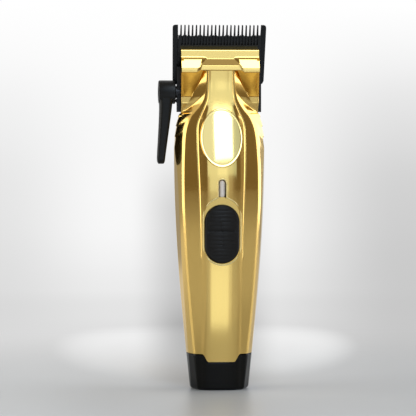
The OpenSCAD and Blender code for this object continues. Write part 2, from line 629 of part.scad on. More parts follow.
// The sliding plate under the cutter, and the arm whose slot the crank pin pushes.
module taper_carriage() color("#4c4f52") on_blade() difference() {
    union() {
        translate([slip - cheek_x, -1.6, carriage_end])
            cube([2 * (cheek_x - slip), 1.5, cutter_end - slip - carriage_end]);
        translate([-15, -7.6, pin_z1 - 1.8]) cube([2.1, 3.3, 3.6]);
        hull() {
            translate([-15, -1.6, carriage_end + 0.1]) cube([2.1, 1.3, 1.9]);
            translate([-15, -5.5, pin_z1 + 0.9]) cube([2.1, 1.2, 0.9]);
        }
    }
    translate([-17, shaft_y1 - crank_r - pin_r - 0.15, pin_z1 - pin_r - slip])
        cube([5, crank_r * (1 - cos(lever_swing / 2)) + 2 * pin_r + 0.3, 2 * (pin_r + slip)]);
}

module cutter_springs() color("#b9bcc0") on_blade() both() translate([9.4, 0, cutter_end])
    rotate([90, 0, 90]) linear_extrude(3) polygon([[-1.6, -7], [-1.6, -1.6], [cutter_face - 0.05, -0.4],
        [cutter_face - 0.05, 4], [cutter_face - 0.35, 4], [cutter_face - 0.35, -0.5], [-1.9, -1.7], [-1.9, -7]]);

// ---------------------------------------------------------------- taper lever

module taper_lever() color("#2b2b2c") {
    difference() {
        rod_x(hub_r, lever_y, lever_z, hub_x - hub_w, hub_x);
        rod_x(lever_shaft_r, lever_y, lever_z, hub_x - hub_w + 2.2, 0);
        rod_x(screw_r, lever_y, lever_z, -40, 0);
        rod_x(2.3, lever_y, lever_z, -40, hub_x - hub_w + 1.3);
    }
    intersection() {
        translate([-40, lever_y, lever_z - arm_len]) rotate([90, 0, 90]) linear_extrude(40) difference() {
            union() {
                polygon([[-5, arm_len], [5, arm_len], [3.4, 3.4], [-3.4, 3.4]]);
                translate([0, 3.4]) circle(3.4);
            }
            translate([0, arm_len]) circle(hub_r - 0.2);
        }
        translate([0, 20, 0]) rotate([90, 0, 0]) linear_extrude(40) polygon([[hub_x - hub_w + 0.2, lever_z],
            [-29.6, lever_z - 11], [-30.9, lever_z - arm_len + 1], [-30.4, lever_z - arm_len],
            [-27.4, lever_z - arm_len], [-26.9, lever_z - arm_len + 1], [-23.4, lever_z - 7], [-23.4, lever_z]]);
    }
}

module lever_shaft() color("#a7aaad") {
    difference() {
        rod_x(lever_shaft_r, lever_y, lever_z, hub_x - hub_w + 2.2, -15.3);
        rod_x(screw_r, lever_y, lever_z, -40, hub_x - 1);
    }
    on_blade() rod_x(pin_r, pin_y1, pin_z1, -15.5, -12.9);
}

module lever_screw() color("#b5b8bb") translate([hub_x - hub_w + 1.3, lever_y, lever_z]) rotate([0, 90, 0])
    screw(2.2, 1.1, screw_r, hub_w - 2.6);

module lever_washer() color("#c4c6c8") difference() {
    rod_x(3, lever_y, lever_z, hub_x + slip, -bracket_hw);
    rod_x(lever_shaft_r + slip, lever_y, lever_z, -40, 0);
}

module detent_ball() color("#c8cacc") translate([-bracket_hw + 0.45, lever_y, lever_z - 4.3]) sphere(1.2);

module detent_spring() color("#b0b3b6") translate([-17.3, lever_y, lever_z - 4.3]) rotate([0, -90, 0])
    coil(0.95, 0.18, 3, 0, bracket_hw - 17.3 - 1.7);

// ---------------------------------------------------------------- drive

// Places children on the motor's axis.
module on_motor() translate([0, -motor_y, 0]) children();

module motor_can() color("#8f9499") on_motor() difference() {
    translate([0, 0, motor_z]) cylinder(r = motor_r, h = motor_len);
    translate([0, 0, motor_z - 1]) cylinder(r = motor_r - 1, h = motor_len - 1);
    cylinder(r = 3, h = 200);
}

module motor_end_cap() color("#3b3e42") on_motor() difference() {
    translate([0, 0, motor_z - motor_cap_t]) cylinder(r = motor_r, h = motor_cap_t);
    cylinder(r = 3, h = 200);
}

module tube(r0, r1, z0, z1) difference() {
    translate([0, 0, z0]) cylinder(r = r1, h = z1 - z0);
    translate([0, 0, z0 - 1]) cylinder(r = r0, h = z1 - z0 + 2);
}

module motor_bearings() color("#c2a25a") on_motor() {
    tube(shaft_r + slip, 3, motor_z - motor_cap_t + 0.2, motor_z - 0.3);
    tube(shaft_r + slip, 3, motor_top_z - 2, motor_top_z);
    tube(cam_r + slip, sleeve_r, cross_z, cross_z + cross_t);
}

module stator_coils() color("#a5522c") on_motor() difference() {
    tube(5.4, motor_r - 1, motor_z + 2.5, motor_top_z - 4);
    for (a = [0:60:300]) rotate(a) translate([5, -0.7, 0]) cube([2.6, 1.4, 200]);
}

module rotor_magnet() color("#55585c") on_motor() tube(shaft_r, 4.8, motor_z + 3, motor_top_z - 4.5);

module motor_shaft() color("#c9ccce") on_motor() translate([0, 0, motor_z - motor_cap_t + 0.3])
    cylinder(r = shaft_r, h = cam_z + 2.6 - motor_z + motor_cap_t);

module eccentric_cam() color("#9c8348") on_motor() {
    difference() {
        union() {
            translate([0, 0, cam_z]) cylinder(r = 5.2, h = 3);
            translate([0, 0, cam_z]) cylinder(r = cam_r, h = cam_top_z - cam_z);
            intersection() {
                translate([0, 0, cam_z]) cylinder(r = 8, h = 3);
                translate([-10, 1, 0]) cube([20, 20, 200]);
            }
        }
        cylinder(r = shaft_r, h = cam_z + 2.9);
    }
    translate([0, -throw, cam_top_z]) cylinder(r = 1.2, h = roller_z + roller_len - cam_top_z + 0.2);
}

module cam_roller() color("#d5d7d9") on_motor() translate([0, -throw, 0])
    tube(1.2, roller_r, roller_z, roller_z + roller_len);

module motor_sleeve() color("#202124") on_motor() tube(motor_r, motor_r + 0.8, motor_z + 5, motor_z + 11);

// ---------------------------------------------------------------- chassis, cell and board

// A plate of half width hw from y0 to y1, kept clear of the housings all round.
module floor_plate(hw, y0, y1, z, t) intersection() {
    translate([-hw, y0, z]) cube([2 * hw, y1 - y0, t]);
    loft([for (h = [z - 0.5, z + t + 0.5]) full_ring(h, wall + 0.35)]);
}

module chassis() color("#2f3135") {
    difference() {
        union() {
            floor_plate(12.6, -8, 8, cap_h + 0.4, 2.8);
            floor_plate(15.8, -8, 9, plate_z, plate_t);
            both() {
                translate([10.5, -2, cap_h + 1]) cube([1.7, 6, plate_z - cap_h]);
                translate([9.25, -2, cap_h + 3]) cube([2, 6, 3.4]);
                translate([9.25, -2, board_top_z - 6]) cube([2, 6, 3]);
                for (z = [board_z + 4, board_top_z - 6]) translate([9.2, -8.2, z]) cube([2.4, 7, 3]);
            }
        }
        translate([0, cell_y, cell_z - 0.3]) cylinder(r = cell_r + 0.1, h = cell_len + 0.6);
        on_motor() translate([0, 0, motor_z + 4]) cylinder(r = motor_r + 0.9, h = motor_len);
        on_motor() translate([0, 0, plate_z - 1]) cylinder(r = 5.6, h = plate_t + 2);
        both() {
            translate([each bracket_screw, plate_z - 1]) cylinder(r = 1, h = plate_t + 2);
            translate([each bracket_screw, plate_z - 2]) cylinder(r = 2.1, h = 2.6);
            translate([base_screw_x, 0, 0]) cylinder(r = screw_r, h = cap_h + 2.6);
        }
    }
    both() translate([8, 6.5, cap_h + 3]) cube([2, 2, 3]);
}

module bracket_screws() color("#a9abad") both() translate([each bracket_screw, plate_z + 0.6])
    screw(1.9, 1, 0.9, plate_t + 8);

module battery_cell() color("#3b6fa3") translate([0, cell_y, cell_z]) {
    cylinder(r = cell_r, h = cell_len);
    translate([0, 0, cell_len]) cylinder(r = 3, h = 0.8);
}

module battery_tabs() color("#c6c8ca") {
    for (z = [cell_z - 0.2, cell_top_z + 0.8]) translate([-5, cell_y - 7, z]) cube([10, 10, 0.2]);
}

module circuit_board() color("#1f6b45") translate([-9, board_y, board_z]) cube([18, board_t, board_top_z - board_z]);

module board_chips() color("#222326") {
    for (b = [[-6, 30, 5, 5, 1.2], [2, 31, 4, 6, 1.4], [-7, 42, 3, 5, 2], [1, 44, 6, 6, 1.8], [-6, 54, 5, 4, 1.2],
              [3, 57, 3, 2, 0.9], [-7.5, 64, 2, 3, 1], [-3, 37.5, 2, 2, 0.8]])
        translate([b[0], board_y - b[4], b[1]]) cube([b[2], b[4], b[3]]);
}

module charge_jack() color("#b9bbbe") translate([0, jack_y, 0]) difference() {
    translate([0, 0, cap_floor]) cylinder(r = 3.2, h = jack_depth);
    cylinder(r = jack_r, h = jack_depth);
}

module charge_board() color("#1f6b45") difference() {
    translate([-6.6, -8, cap_floor + jack_depth]) cube([13.2, 17, 1]);
    both() translate([base_screw_x, 0, 0]) cylinder(r = 3.6, h = 30);
}

module charge_contacts() color("#d9b860") both() translate([contact_x, contact_y, 0.15]) {
    cylinder(r = 1.55, h = cap_floor - 0.3);
    cylinder(r = 1.2, h = cap_floor + 0.4);
}

module contact_springs() color("#b0b3b6") both() translate([contact_x, contact_y, 0])
    coil(1.1, 0.2, 5, cap_floor + 0.58, cap_floor + jack_depth);

module housing_screws() color("#6e7175") both() for (i = [0, 1])
    translate([screw_x[i], screw_seat_y, screw_z[i]]) rotate([90, 0, 0]) screw(2.1, 1.4, screw_r, 14.5);

module base_screws() color("#6e7175") for (x = [-1, 1])
    translate([x * base_screw_x, 0, 1.4]) screw(2, 1.1, screw_r, cap_h + 0.8);

module motor_leads() color("#b02a26") both()
    lead(5.5, 0.45, [[board_y + board_t + 0.45, board_top_z - 8], [board_y + board_t + 0.45, cell_top_z + 2],
        [-4.4, motor_z - motor_cap_t - 0.2]]);

module battery_leads() color("#1d1d1f") {
    lead(-4.2, 0.45, [[board_y + board_t + 0.47, cell_z + 6], [board_y + board_t + 0.47, cell_z - 0.5],
        [-3.4, cell_z - 0.67]]);
    lead(4.2, 0.45, [[board_y + board_t + 0.47, board_top_z - 6], [board_y + board_t + 0.47, cell_top_z + 1.3],
        [-3, cell_top_z + 1.47]]);
}

front_housing();
rear_housing();
blade_cover();
head_bracket();
base_cap();
badge_plate();
switch_button();
indicator_lens();
fixed_blade();
blade_screws();
cutter_blade();
cutter_yoke();
yoke_screws();
taper_carriage();
cutter_springs();
taper_lever();
lever_shaft();
lever_washer();
lever_screw();
detent_ball();
detent_spring();
motor_can();
motor_end_cap();
motor_bearings();
stator_coils();
rotor_magnet();
motor_shaft();
eccentric_cam();
cam_roller();
motor_sleeve();
chassis();
bracket_screws();
battery_cell();
battery_tabs();
circuit_board();
board_chips();
slide_switch();
switch_knob();
indicator_led();
charge_jack();
charge_board();
charge_contacts();
contact_springs();
housing_screws();
base_screws();
motor_leads();
battery_leads();
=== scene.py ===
"""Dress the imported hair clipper: smooth gold housings, ribbed switch, ground blades and a taper lever.

Every length in this file is in millimetres until a mesh is made, +Z points up to the teeth and -Y out
of the front. Shapes are surfaces over numpy grids, and each class builds one sub-assembly.
"""

import json
import logging
import math
from dataclasses import dataclass, field
from enum import Enum
from functools import lru_cache
from typing import Callable, Sequence

import bmesh
import bpy
import numpy as np
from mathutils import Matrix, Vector

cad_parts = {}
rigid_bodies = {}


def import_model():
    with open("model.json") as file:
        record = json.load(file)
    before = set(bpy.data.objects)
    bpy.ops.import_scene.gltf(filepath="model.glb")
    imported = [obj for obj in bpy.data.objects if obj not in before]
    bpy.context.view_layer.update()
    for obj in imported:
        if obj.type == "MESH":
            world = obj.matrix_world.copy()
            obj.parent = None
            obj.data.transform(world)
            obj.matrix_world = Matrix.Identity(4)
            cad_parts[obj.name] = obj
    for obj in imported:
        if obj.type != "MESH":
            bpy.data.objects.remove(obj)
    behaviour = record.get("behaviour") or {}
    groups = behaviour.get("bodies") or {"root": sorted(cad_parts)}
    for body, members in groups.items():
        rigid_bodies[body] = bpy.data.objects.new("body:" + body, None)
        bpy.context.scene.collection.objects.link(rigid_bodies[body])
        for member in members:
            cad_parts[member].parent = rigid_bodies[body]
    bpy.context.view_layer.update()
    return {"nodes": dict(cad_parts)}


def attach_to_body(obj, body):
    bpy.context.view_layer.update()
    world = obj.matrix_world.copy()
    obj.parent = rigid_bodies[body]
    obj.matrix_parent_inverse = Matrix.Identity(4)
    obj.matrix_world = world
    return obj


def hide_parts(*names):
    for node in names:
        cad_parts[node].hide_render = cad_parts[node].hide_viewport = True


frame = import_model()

LOG = logging.getLogger("clipper")
MM = 0.001
Array = np.ndarray
Knots = Sequence[tuple[float, float]]
Obj = bpy.types.Object
Socket = bpy.types.NodeSocket
Place = Callable[[Array, Array | float], Array]


# ---- numbers


def mix(a: Array | float, b: Array | float, t: Array | float) -> Array:
    """Return a + (b - a) t."""
    return a + (b - a) * t


def clamp01(t: Array | float) -> Array:
    """Return t held between 0 and 1."""
    return np.clip(t, 0.0, 1.0)


def ease(t: Array | float) -> Array:
    """Return u u (3 - 2 u) for u = t held between 0 and 1."""
    u = clamp01(t)
    return u * u * (3.0 - 2.0 * u)


def step_between(x: Array | float, a: float, b: float) -> Array:
    """Return the smooth step of x that is 0 at a and 1 at b."""
    return ease((np.asarray(x, dtype=float) - a) / (b - a))


def soft_hinge(x: Array, s: float) -> Array:
    """Return (x + sqrt(x x + s s)) / 2, which bends softly from 0 to x around the origin."""
    return 0.5 * (x + np.sqrt(x * x + s * s))


def curve_through(z: Array | float, knots: Knots) -> Array:
    """Return a smooth curve through (z, value) knots.

    Between two knots it is the cubic Hermite polynomial whose slope at a knot is the mean of the
    slopes on its two sides.

    Args:
        z: Where to evaluate the curve.
        knots: Pairs of z and value, in rising z.

    Returns:
        The values at z, held constant outside the knots.
    """
    kz, kv = np.array(knots, dtype=float).T
    slope = np.diff(kv) / np.diff(kz)
    tangent = np.concatenate(([slope[0]], 0.5 * (slope[1:] + slope[:-1]), [slope[-1]]))
    zz = np.clip(np.asarray(z, dtype=float), kz[0], kz[-1])
    i = np.clip(np.searchsorted(kz, zz, side="right") - 1, 0, len(kz) - 2)
    h = kz[i + 1] - kz[i]
    t = (zz - kz[i]) / h
    return ((2 * t**3 - 3 * t**2 + 1) * kv[i] + (t**3 - 2 * t**2 + t) * h * tangent[i]
            + (3 * t**2 - 2 * t**3) * kv[i + 1] + (t**3 - t**2) * h * tangent[i + 1])


def round_corners(points: Array, reach: Sequence[float], along: int, around: int) -> Array:
    """Sample a polyline with its inner corners rounded.

    A corner P with neighbours A and B becomes the quadratic Bezier curve from P + t (A - P) / |A - P|
    over P to P + t (B - P) / |B - P|, where t is the corner's reach, at most 0.45 of the shorter side.

    Args:
        points: Array of shape (..., K, 2 or 3), the polyline's K points.
        reach: The K - 2 reaches of the inner corners, in millimetres.
        along: Number of steps on each straight stretch.
        around: Number of steps round each corner.

    Returns:
        Array of shape (..., M, 2 or 3) with the same M for every polyline.
    """
    stops = [points[..., 0, :]]
    curves: list[Array] = []
    s = np.linspace(0.0, 1.0, around + 1)[:, None]
    for k, longest in enumerate(reach, 1):
        p = points[..., k, :]
        arms = [points[..., n, :] - p for n in (k - 1, k + 1)]
        lengths = [np.linalg.norm(arm, axis=-1, keepdims=True) for arm in arms]
        t = np.minimum(longest, 0.45 * np.minimum(*lengths))
        start, end = (p + arm * (t / np.maximum(length, 1e-9)) for arm, length in zip(arms, lengths))
        stops += [start, end]
        curves.append((1 - s) ** 2 * start[..., None, :] + 2 * s * (1 - s) * p[..., None, :]
                      + s**2 * end[..., None, :])
    stops.append(points[..., -1, :])
    s = np.linspace(0.0, 1.0, along + 1)[:, None]
    lines = [(1 - s) * a[..., None, :] + s * b[..., None, :] for a, b in zip(stops[::2], stops[1::2])]
    pieces = [lines[0]]
    for curve, line in zip(curves, lines[1:]):
        pieces += [curve[..., 1:, :], line[..., 1:, :]]
    return np.concatenate(pieces, axis=-2)


def swell(z: Array, base: float, belly: float, at: float) -> Array:
    """Return base + (belly - base) sin(90 z / at), which stays at belly above at."""
    return base + (belly - base) * np.sin(np.radians(90 * np.clip(z, 0, at) / at))


def swell_and_fall(z: Array, base: float, belly: float, at: float, neck: float, top: float) -> Array:
    """Return the swell up to a height, and above it half a cosine down to the neck.

    Args:
        z: Heights.
        base: Value at the foot.
        belly: Greatest value.
        at: Height of the greatest value.
        neck: Value at the top.
        top: Height where the neck begins.

    Returns:
        The value at each height.
    """
    high = neck + (belly - neck) * (0.5 + 0.5 * np.cos(np.pi * clamp01((z - at) / (top - at))))
    return np.where(z <= at, swell(z, base, belly, at), high)


# ---- outlines


def turn(count: int) -> Array:
    """Return evenly spaced angles of one whole turn."""
    return np.linspace(0, 2 * np.pi, count, endpoint=False)


def circle(radius: float, cx: float = 0.0, cy: float = 0.0, count: int = 48) -> Array:
    """Return a circle's outline."""
    a = turn(count)
    return np.stack([cx + radius * np.cos(a), cy + radius * np.sin(a)], -1)


def rectangle(left: float, low: float, right: float, high: float) -> Array:
    """Return a rectangle's outline."""
    return np.array([[left, low], [right, low], [right, high], [left, high]])


def stadium(hw: float, low: float, high: float, count: int = 40) -> Array:
    """Return a stadium's outline in x and z: two half circles of radius hw joined by straight sides."""
    a = np.linspace(0, np.pi, count)
    top = np.stack([hw * np.cos(a), high - hw + hw * np.sin(a)], -1)
    bottom = np.stack([-hw * np.cos(a), low + hw - hw * np.sin(a)], -1)
    return np.concatenate([top, bottom])


def evenly(line: Array, count: int) -> Array:
    """Return a closed line sampled at evenly spaced lengths."""
    closed = np.concatenate([line, line[:1]])
    length = np.concatenate([[0], np.cumsum(np.linalg.norm(np.diff(closed, axis=0), axis=1))])
    at = np.linspace(0, length[-1], count, endpoint=False)
    return np.stack([np.interp(at, length, column) for column in closed.T], -1)


def on_front(outline: Array, depth: Array | float) -> Array:
    """Return an outline of x and z with its points a depth out of the front."""
    return np.stack([outline[:, 0], 0 * outline[:, 0] - depth, outline[:, 1]], -1)


# ---- meshes


def grid_faces(rows: int, cols: int, wrap: bool = False, start: int = 0) -> Array:
    """Return the quads of a grid of rows by cols points, counted row by row.

    Args:
        rows: Number of rows.
        cols: Number of points in a row.
        wrap: Whether the last point of a row joins the first.
        start: Index of the grid's first point.

    Returns:
        Integer array of shape (quads, 4).
    """
    i = np.arange(rows - 1)[:, None]
    j = np.arange(cols if wrap else cols - 1)[None, :]
    k = (j + 1) % cols
    low, high = i * cols, (i + 1) * cols
    return np.stack(np.broadcast_arrays(low + j, low + k, high + k, high + j), -1).reshape(-1, 4) + start


# For each axis, the places that (a, b, height along the axis) take among X, Y and Z.
AXES = {"x": (2, 0, 1), "y": (0, 2, 1), "z": (0, 1, 2)}


@dataclass
class Surface:
    """Points and faces that grow into one mesh."""

    points: list[Array] = field(default_factory=list)
    faces: list[list[int]] = field(default_factory=list)
    count: int = 0

    def add(self, points: Array, faces: Array | list[list[int]]) -> "Surface":
        """Add points, and faces that count from the first of them, and return the surface."""
        flat = np.asarray(points, dtype=float).reshape(-1, 3)
        self.points.append(flat)
        for face in (faces.tolist() if isinstance(faces, np.ndarray) else faces):
            self.faces.append([index + self.count for index in face])
        self.count += len(flat)
        return self

    def add_grid(self, points: Array, wrap: bool = False) -> "Surface":
        """Add a grid of shape (rows, cols, 3)."""
        return self.add(points, grid_faces(points.shape[0], points.shape[1], wrap))

    def add_loft(self, rings: Array) -> "Surface":
        """Add closed rings of shape (rows, cols, 3) with a fan over the first and the last."""
        rows, cols = rings.shape[:2]
        middles = np.stack([rings[0].mean(axis=0), rings[-1].mean(axis=0)])
        faces = grid_faces(rows, cols, True).tolist()
        last = rows * cols
        faces += [[(j + 1) % cols, j, last] for j in range(cols)]
        faces += [[last - cols + j, last - cols + (j + 1) % cols, last + 1] for j in range(cols)]
        return self.add(np.concatenate([rings.reshape(-1, 3), middles]), faces)

    def add_shell(self, outer: Array, inner: Array) -> "Surface":
        """Add two open grids of one shape, joined along their four edges into a closed wall."""
        rows, cols = outer.shape[:2]
        n = rows * cols
        index = np.arange(n).reshape(rows, cols)
        rim = np.concatenate([index[0], index[1:, -1], index[-1, -2::-1], index[-2:0:-1, 0]])
        nxt = np.roll(rim, -1)
        faces = np.concatenate([grid_faces(rows, cols), grid_faces(rows, cols, start=n)[:, ::-1],
                                np.stack([rim, rim + n, nxt + n, nxt], -1)])
        return self.add(np.concatenate([outer.reshape(-1, 3), inner.reshape(-1, 3)]), faces)

    def add_slab(self, low: Array, high: Array) -> "Surface":
        """Add two outlines of N points each, capped and joined point by point into a closed slab."""
        n = len(low)
        faces: list[list[int]] = [list(range(n)), [2 * n - 1 - i for i in range(n)]]
        faces += [[i, (i + 1) % n, n + (i + 1) % n, n + i] for i in range(n)]
        return self.add(np.concatenate([low, high]), faces)

    def add_prism(self, outline: Array, place: Place, low: float, high: float) -> "Surface":
        """Add a flat outline as a prism, placed by a function of outline and height."""
        return self.add_slab(place(outline, low), place(outline, high))

    def add_turned(self, profile: Array, axis: str, centre: tuple[float, float], count: int) -> "Surface":
        """Add a closed profile turned about an axis.

        Args:
            profile: Array of shape (N, 2), place along the axis and radius.
            axis: "x" or "y".
            centre: The axis's place in the other two coordinates.
            count: Number of steps round it.

        Returns:
            The surface.
        """
        a, r = turn(count), profile[:, 1:]
        columns = (centre[0] + r * np.cos(a), centre[1] + r * np.sin(a), profile[:, :1] + 0 * a)
        grid = np.stack([columns[i] for i in AXES[axis]], -1)
        return self.add_grid(np.concatenate([grid, grid[:1]]), wrap=True)


def smooth_by_angle(obj: Obj, angle: float) -> None:
    """Shade an object smooth, with edges over an angle in degrees kept sharp."""
    mesh = obj.data
    mesh.polygons.foreach_set("use_smooth", np.ones(len(mesh.polygons), dtype=bool))
    mesh.set_sharp_from_angle(angle=math.radians(angle))


def build_object(name: str, surface: Surface, look: "Look | bpy.types.Material", sharp: float) -> Obj:
    """Make an object from a surface, with its doubles merged and its faces turned outwards.

    Args:
        name: The piece's name.
        surface: Points in millimetres and faces.
        look: The piece's finish, or a material of its own.
        sharp: Angle in degrees over which an edge stays sharp.

    Returns:
        The new object, at the origin.
    """
    mesh = bpy.data.meshes.new(name)
    mesh.from_pydata((np.concatenate(surface.points) * MM).tolist(), [], surface.faces)
    work = bmesh.new()
    work.from_mesh(mesh)
    bmesh.ops.remove_doubles(work, verts=work.verts, dist=1e-6)
    bmesh.ops.recalc_face_normals(work, faces=work.faces)
    work.to_mesh(mesh)
    work.free()
    mesh.materials.append(material_of(look) if isinstance(look, Look) else look)
    obj = bpy.data.objects.new(name, mesh)
    smooth_by_angle(obj, sharp)
    bpy.context.scene.collection.objects.link(obj)
    return obj


def add_bevel(obj: Obj, width: float, segments: int = 3) -> None:
    """Round an object's edges that are sharper than 30 degrees, by a width in millimetres."""
    bevel = obj.modifiers.new("edge_round", "BEVEL")
    bevel.width = width * MM
    bevel.segments = segments
    bevel.limit_method = "ANGLE"
    bevel.angle_limit = math.radians(30.0)
    bevel.harden_normals = True


def along_axis(axis: str) -> Place:
    """Return a function that places a flat outline at a height along an axis.

    Args:
        axis: "x" reads the outline as (y, z), "y" reads it as (x, z), "z" reads it as (x, y).

    Returns:
        Function of outline and height that gives points of shape (N, 3).
    """

    def place(outline: Array, height: Array | float) -> Array:
        """Place the outline at the height."""
        columns = (outline[:, 0], outline[:, 1], np.full(len(outline), height))
        return np.stack([columns[i] for i in AXES[axis]], -1)

    return place


def punch(outline: Array, place: Place | str, low: float, high: float) -> Obj:
    """Return a prism that is cut out of a piece, placed by a function or along a named axis."""
    where = along_axis(place) if isinstance(place, str) else place
    return build_object("punch", Surface().add_prism(outline, where, low, high), Look.NYLON, 40)


def cut_away(obj: Obj, solids: list[Obj], sharp: float) -> None:
    """Cut solids out of an object with exact booleans, remove them and shade the object again.

    Args:
        obj: The object that is cut.
        solids: Closed solids.
        sharp: Angle in degrees over which an edge stays sharp.
    """
    for solid in solids:
        modifier = obj.modifiers.new("cut", "BOOLEAN")
        modifier.operation = "DIFFERENCE"
        modifier.solver = "EXACT"
        modifier.object = solid
    bpy.context.view_layer.update()
    graph = bpy.context.evaluated_depsgraph_get()
    mesh = bpy.data.meshes.new_from_object(obj.evaluated_get(graph), depsgraph=graph)
    obj.modifiers.clear()
    obj.data = mesh
    for solid in solids:
        bpy.data.objects.remove(solid)
    smooth_by_angle(obj, sharp)


def attach(obj: Obj, body: str, node: str = "") -> None:
    """Let a finished piece ride on its body, in place of a node where one is named.

    Args:
        obj: The piece.
        body: The body that it moves with.
        node: The node that it stands for, if any.
    """
    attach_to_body(obj, body)
    if node:
        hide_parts(node)
    LOG.info("built %s", obj.name)


# ---- looks


def linear(code: str) -> tuple[float, float, float, float]:
    """Return an sRGB hex colour such as "#c8a050" as linear RGBA."""
    parts = [int(code[i:i + 2], 16) / 255.0 for i in (1, 3, 5)]
    red, green, blue = (c / 12.92 if c <= 0.04045 else ((c + 0.055) / 1.055) ** 2.4 for c in parts)
    return (red, green, blue, 1.0)


def add_node(tree: bpy.types.NodeTree, kind: str, settings: dict[str, object] | None = None,
             inputs: dict[str | int, object] | None = None) -> bpy.types.Node:
    """Add one node, with its settings, its input values and its links.

    Args:
        tree: The node tree.
        kind: The node's type, such as "ShaderNodeBump".
        settings: Attributes to set on the node.
        inputs: Input name or number to a value, or to an output socket that is linked to it.

    Returns:
        The new node.
    """
    node = tree.nodes.new(kind)
    for key, value in (settings or {}).items():
        setattr(node, key, value)
    for key, value in (inputs or {}).items():
        if isinstance(value, Socket):
            tree.links.new(value, node.inputs[key])
        else:
            node.inputs[key].default_value = value
    return node


def empty_tree(owner: bpy.types.Material | bpy.types.World) -> bpy.types.NodeTree:
    """Return the node tree of a material or a world, with nothing in it."""
    owner.use_nodes = True
    owner.node_tree.nodes.clear()
    return owner.node_tree


class Texture(Enum):
    """How a surface was made: how far its fine pattern is drawn out along X, Y and Z."""

    EVEN = (1.0, 1.0, 1.0)
    GROUND = (1.0, 1.0, 0.04)
    TURNED = (0.05, 0.05, 1.0)


@dataclass(frozen=True)
class Finish:
    """A finish: its colours, how rough and how metallic it is, and its fine pattern."""

    name: str
    colour: str
    second: str
    roughness: float
    grain_mm: float
    bump: float
    spread: float
    metallic: float = 0.0
    texture: Texture = Texture.EVEN
    coat: float = 0.0
    anisotropic: float = 0.0
    glow: float = 0.0
    edge_mm: float = 0.0
    specular: float = 0.5

    def build(self) -> bpy.types.Material:
        """Return the material: a noise tints the colour, varies the roughness and gives a fine bump."""
        material = bpy.data.materials.new(self.name)
        tree = empty_tree(material)
        place = add_node(tree, "ShaderNodeTexCoord").outputs["Object"]
        scaled = add_node(tree, "ShaderNodeMapping", inputs={
            "Vector": place, "Scale": tuple(1000.0 / self.grain_mm * k for k in self.texture.value)})
        grain = add_node(tree, "ShaderNodeTexNoise", inputs={
            "Vector": scaled.outputs["Vector"], "Scale": 1.0, "Detail": 3.0, "Roughness": 0.55})
        # The broad noise has patches of about 11 mm.
        broad = add_node(tree, "ShaderNodeTexNoise", inputs={
            "Vector": place, "Scale": 90.0, "Detail": 2.0, "Roughness": 0.5})
        tint = add_node(tree, "ShaderNodeMix", {"data_type": "RGBA"}, {
            "Factor": broad.outputs["Fac"], 6: linear(self.colour), 7: linear(self.second)})
        rough = add_node(tree, "ShaderNodeMapRange", inputs={
            "Value": grain.outputs["Fac"], "From Min": 0.3, "From Max": 0.7,
            "To Min": max(self.roughness - self.spread, 0.0), "To Max": self.roughness + self.spread})
        bump = add_node(tree, "ShaderNodeBump", inputs={
            "Strength": self.bump, "Distance": 0.1 * self.grain_mm * MM, "Height": grain.outputs["Fac"]})
        if self.edge_mm:
            edge = add_node(tree, "ShaderNodeBevel", {"samples": 6}, {"Radius": self.edge_mm * MM})
            tree.links.new(edge.outputs["Normal"], bump.inputs["Normal"])
        glow = {"Emission Color": linear(self.colour), "Emission Strength": self.glow} if self.glow else {}
        shader = add_node(tree, "ShaderNodeBsdfPrincipled", inputs={
            "Base Color": tint.outputs[2], "Metallic": self.metallic, "Roughness": rough.outputs["Result"],
            "Coat Weight": self.coat, "Coat Roughness": 0.06, "Anisotropic": self.anisotropic,
            "Specular IOR Level": self.specular, "Normal": bump.outputs["Normal"], **glow})
        add_node(tree, "ShaderNodeOutputMaterial", inputs={"Surface": shader.outputs["BSDF"]})
        return material


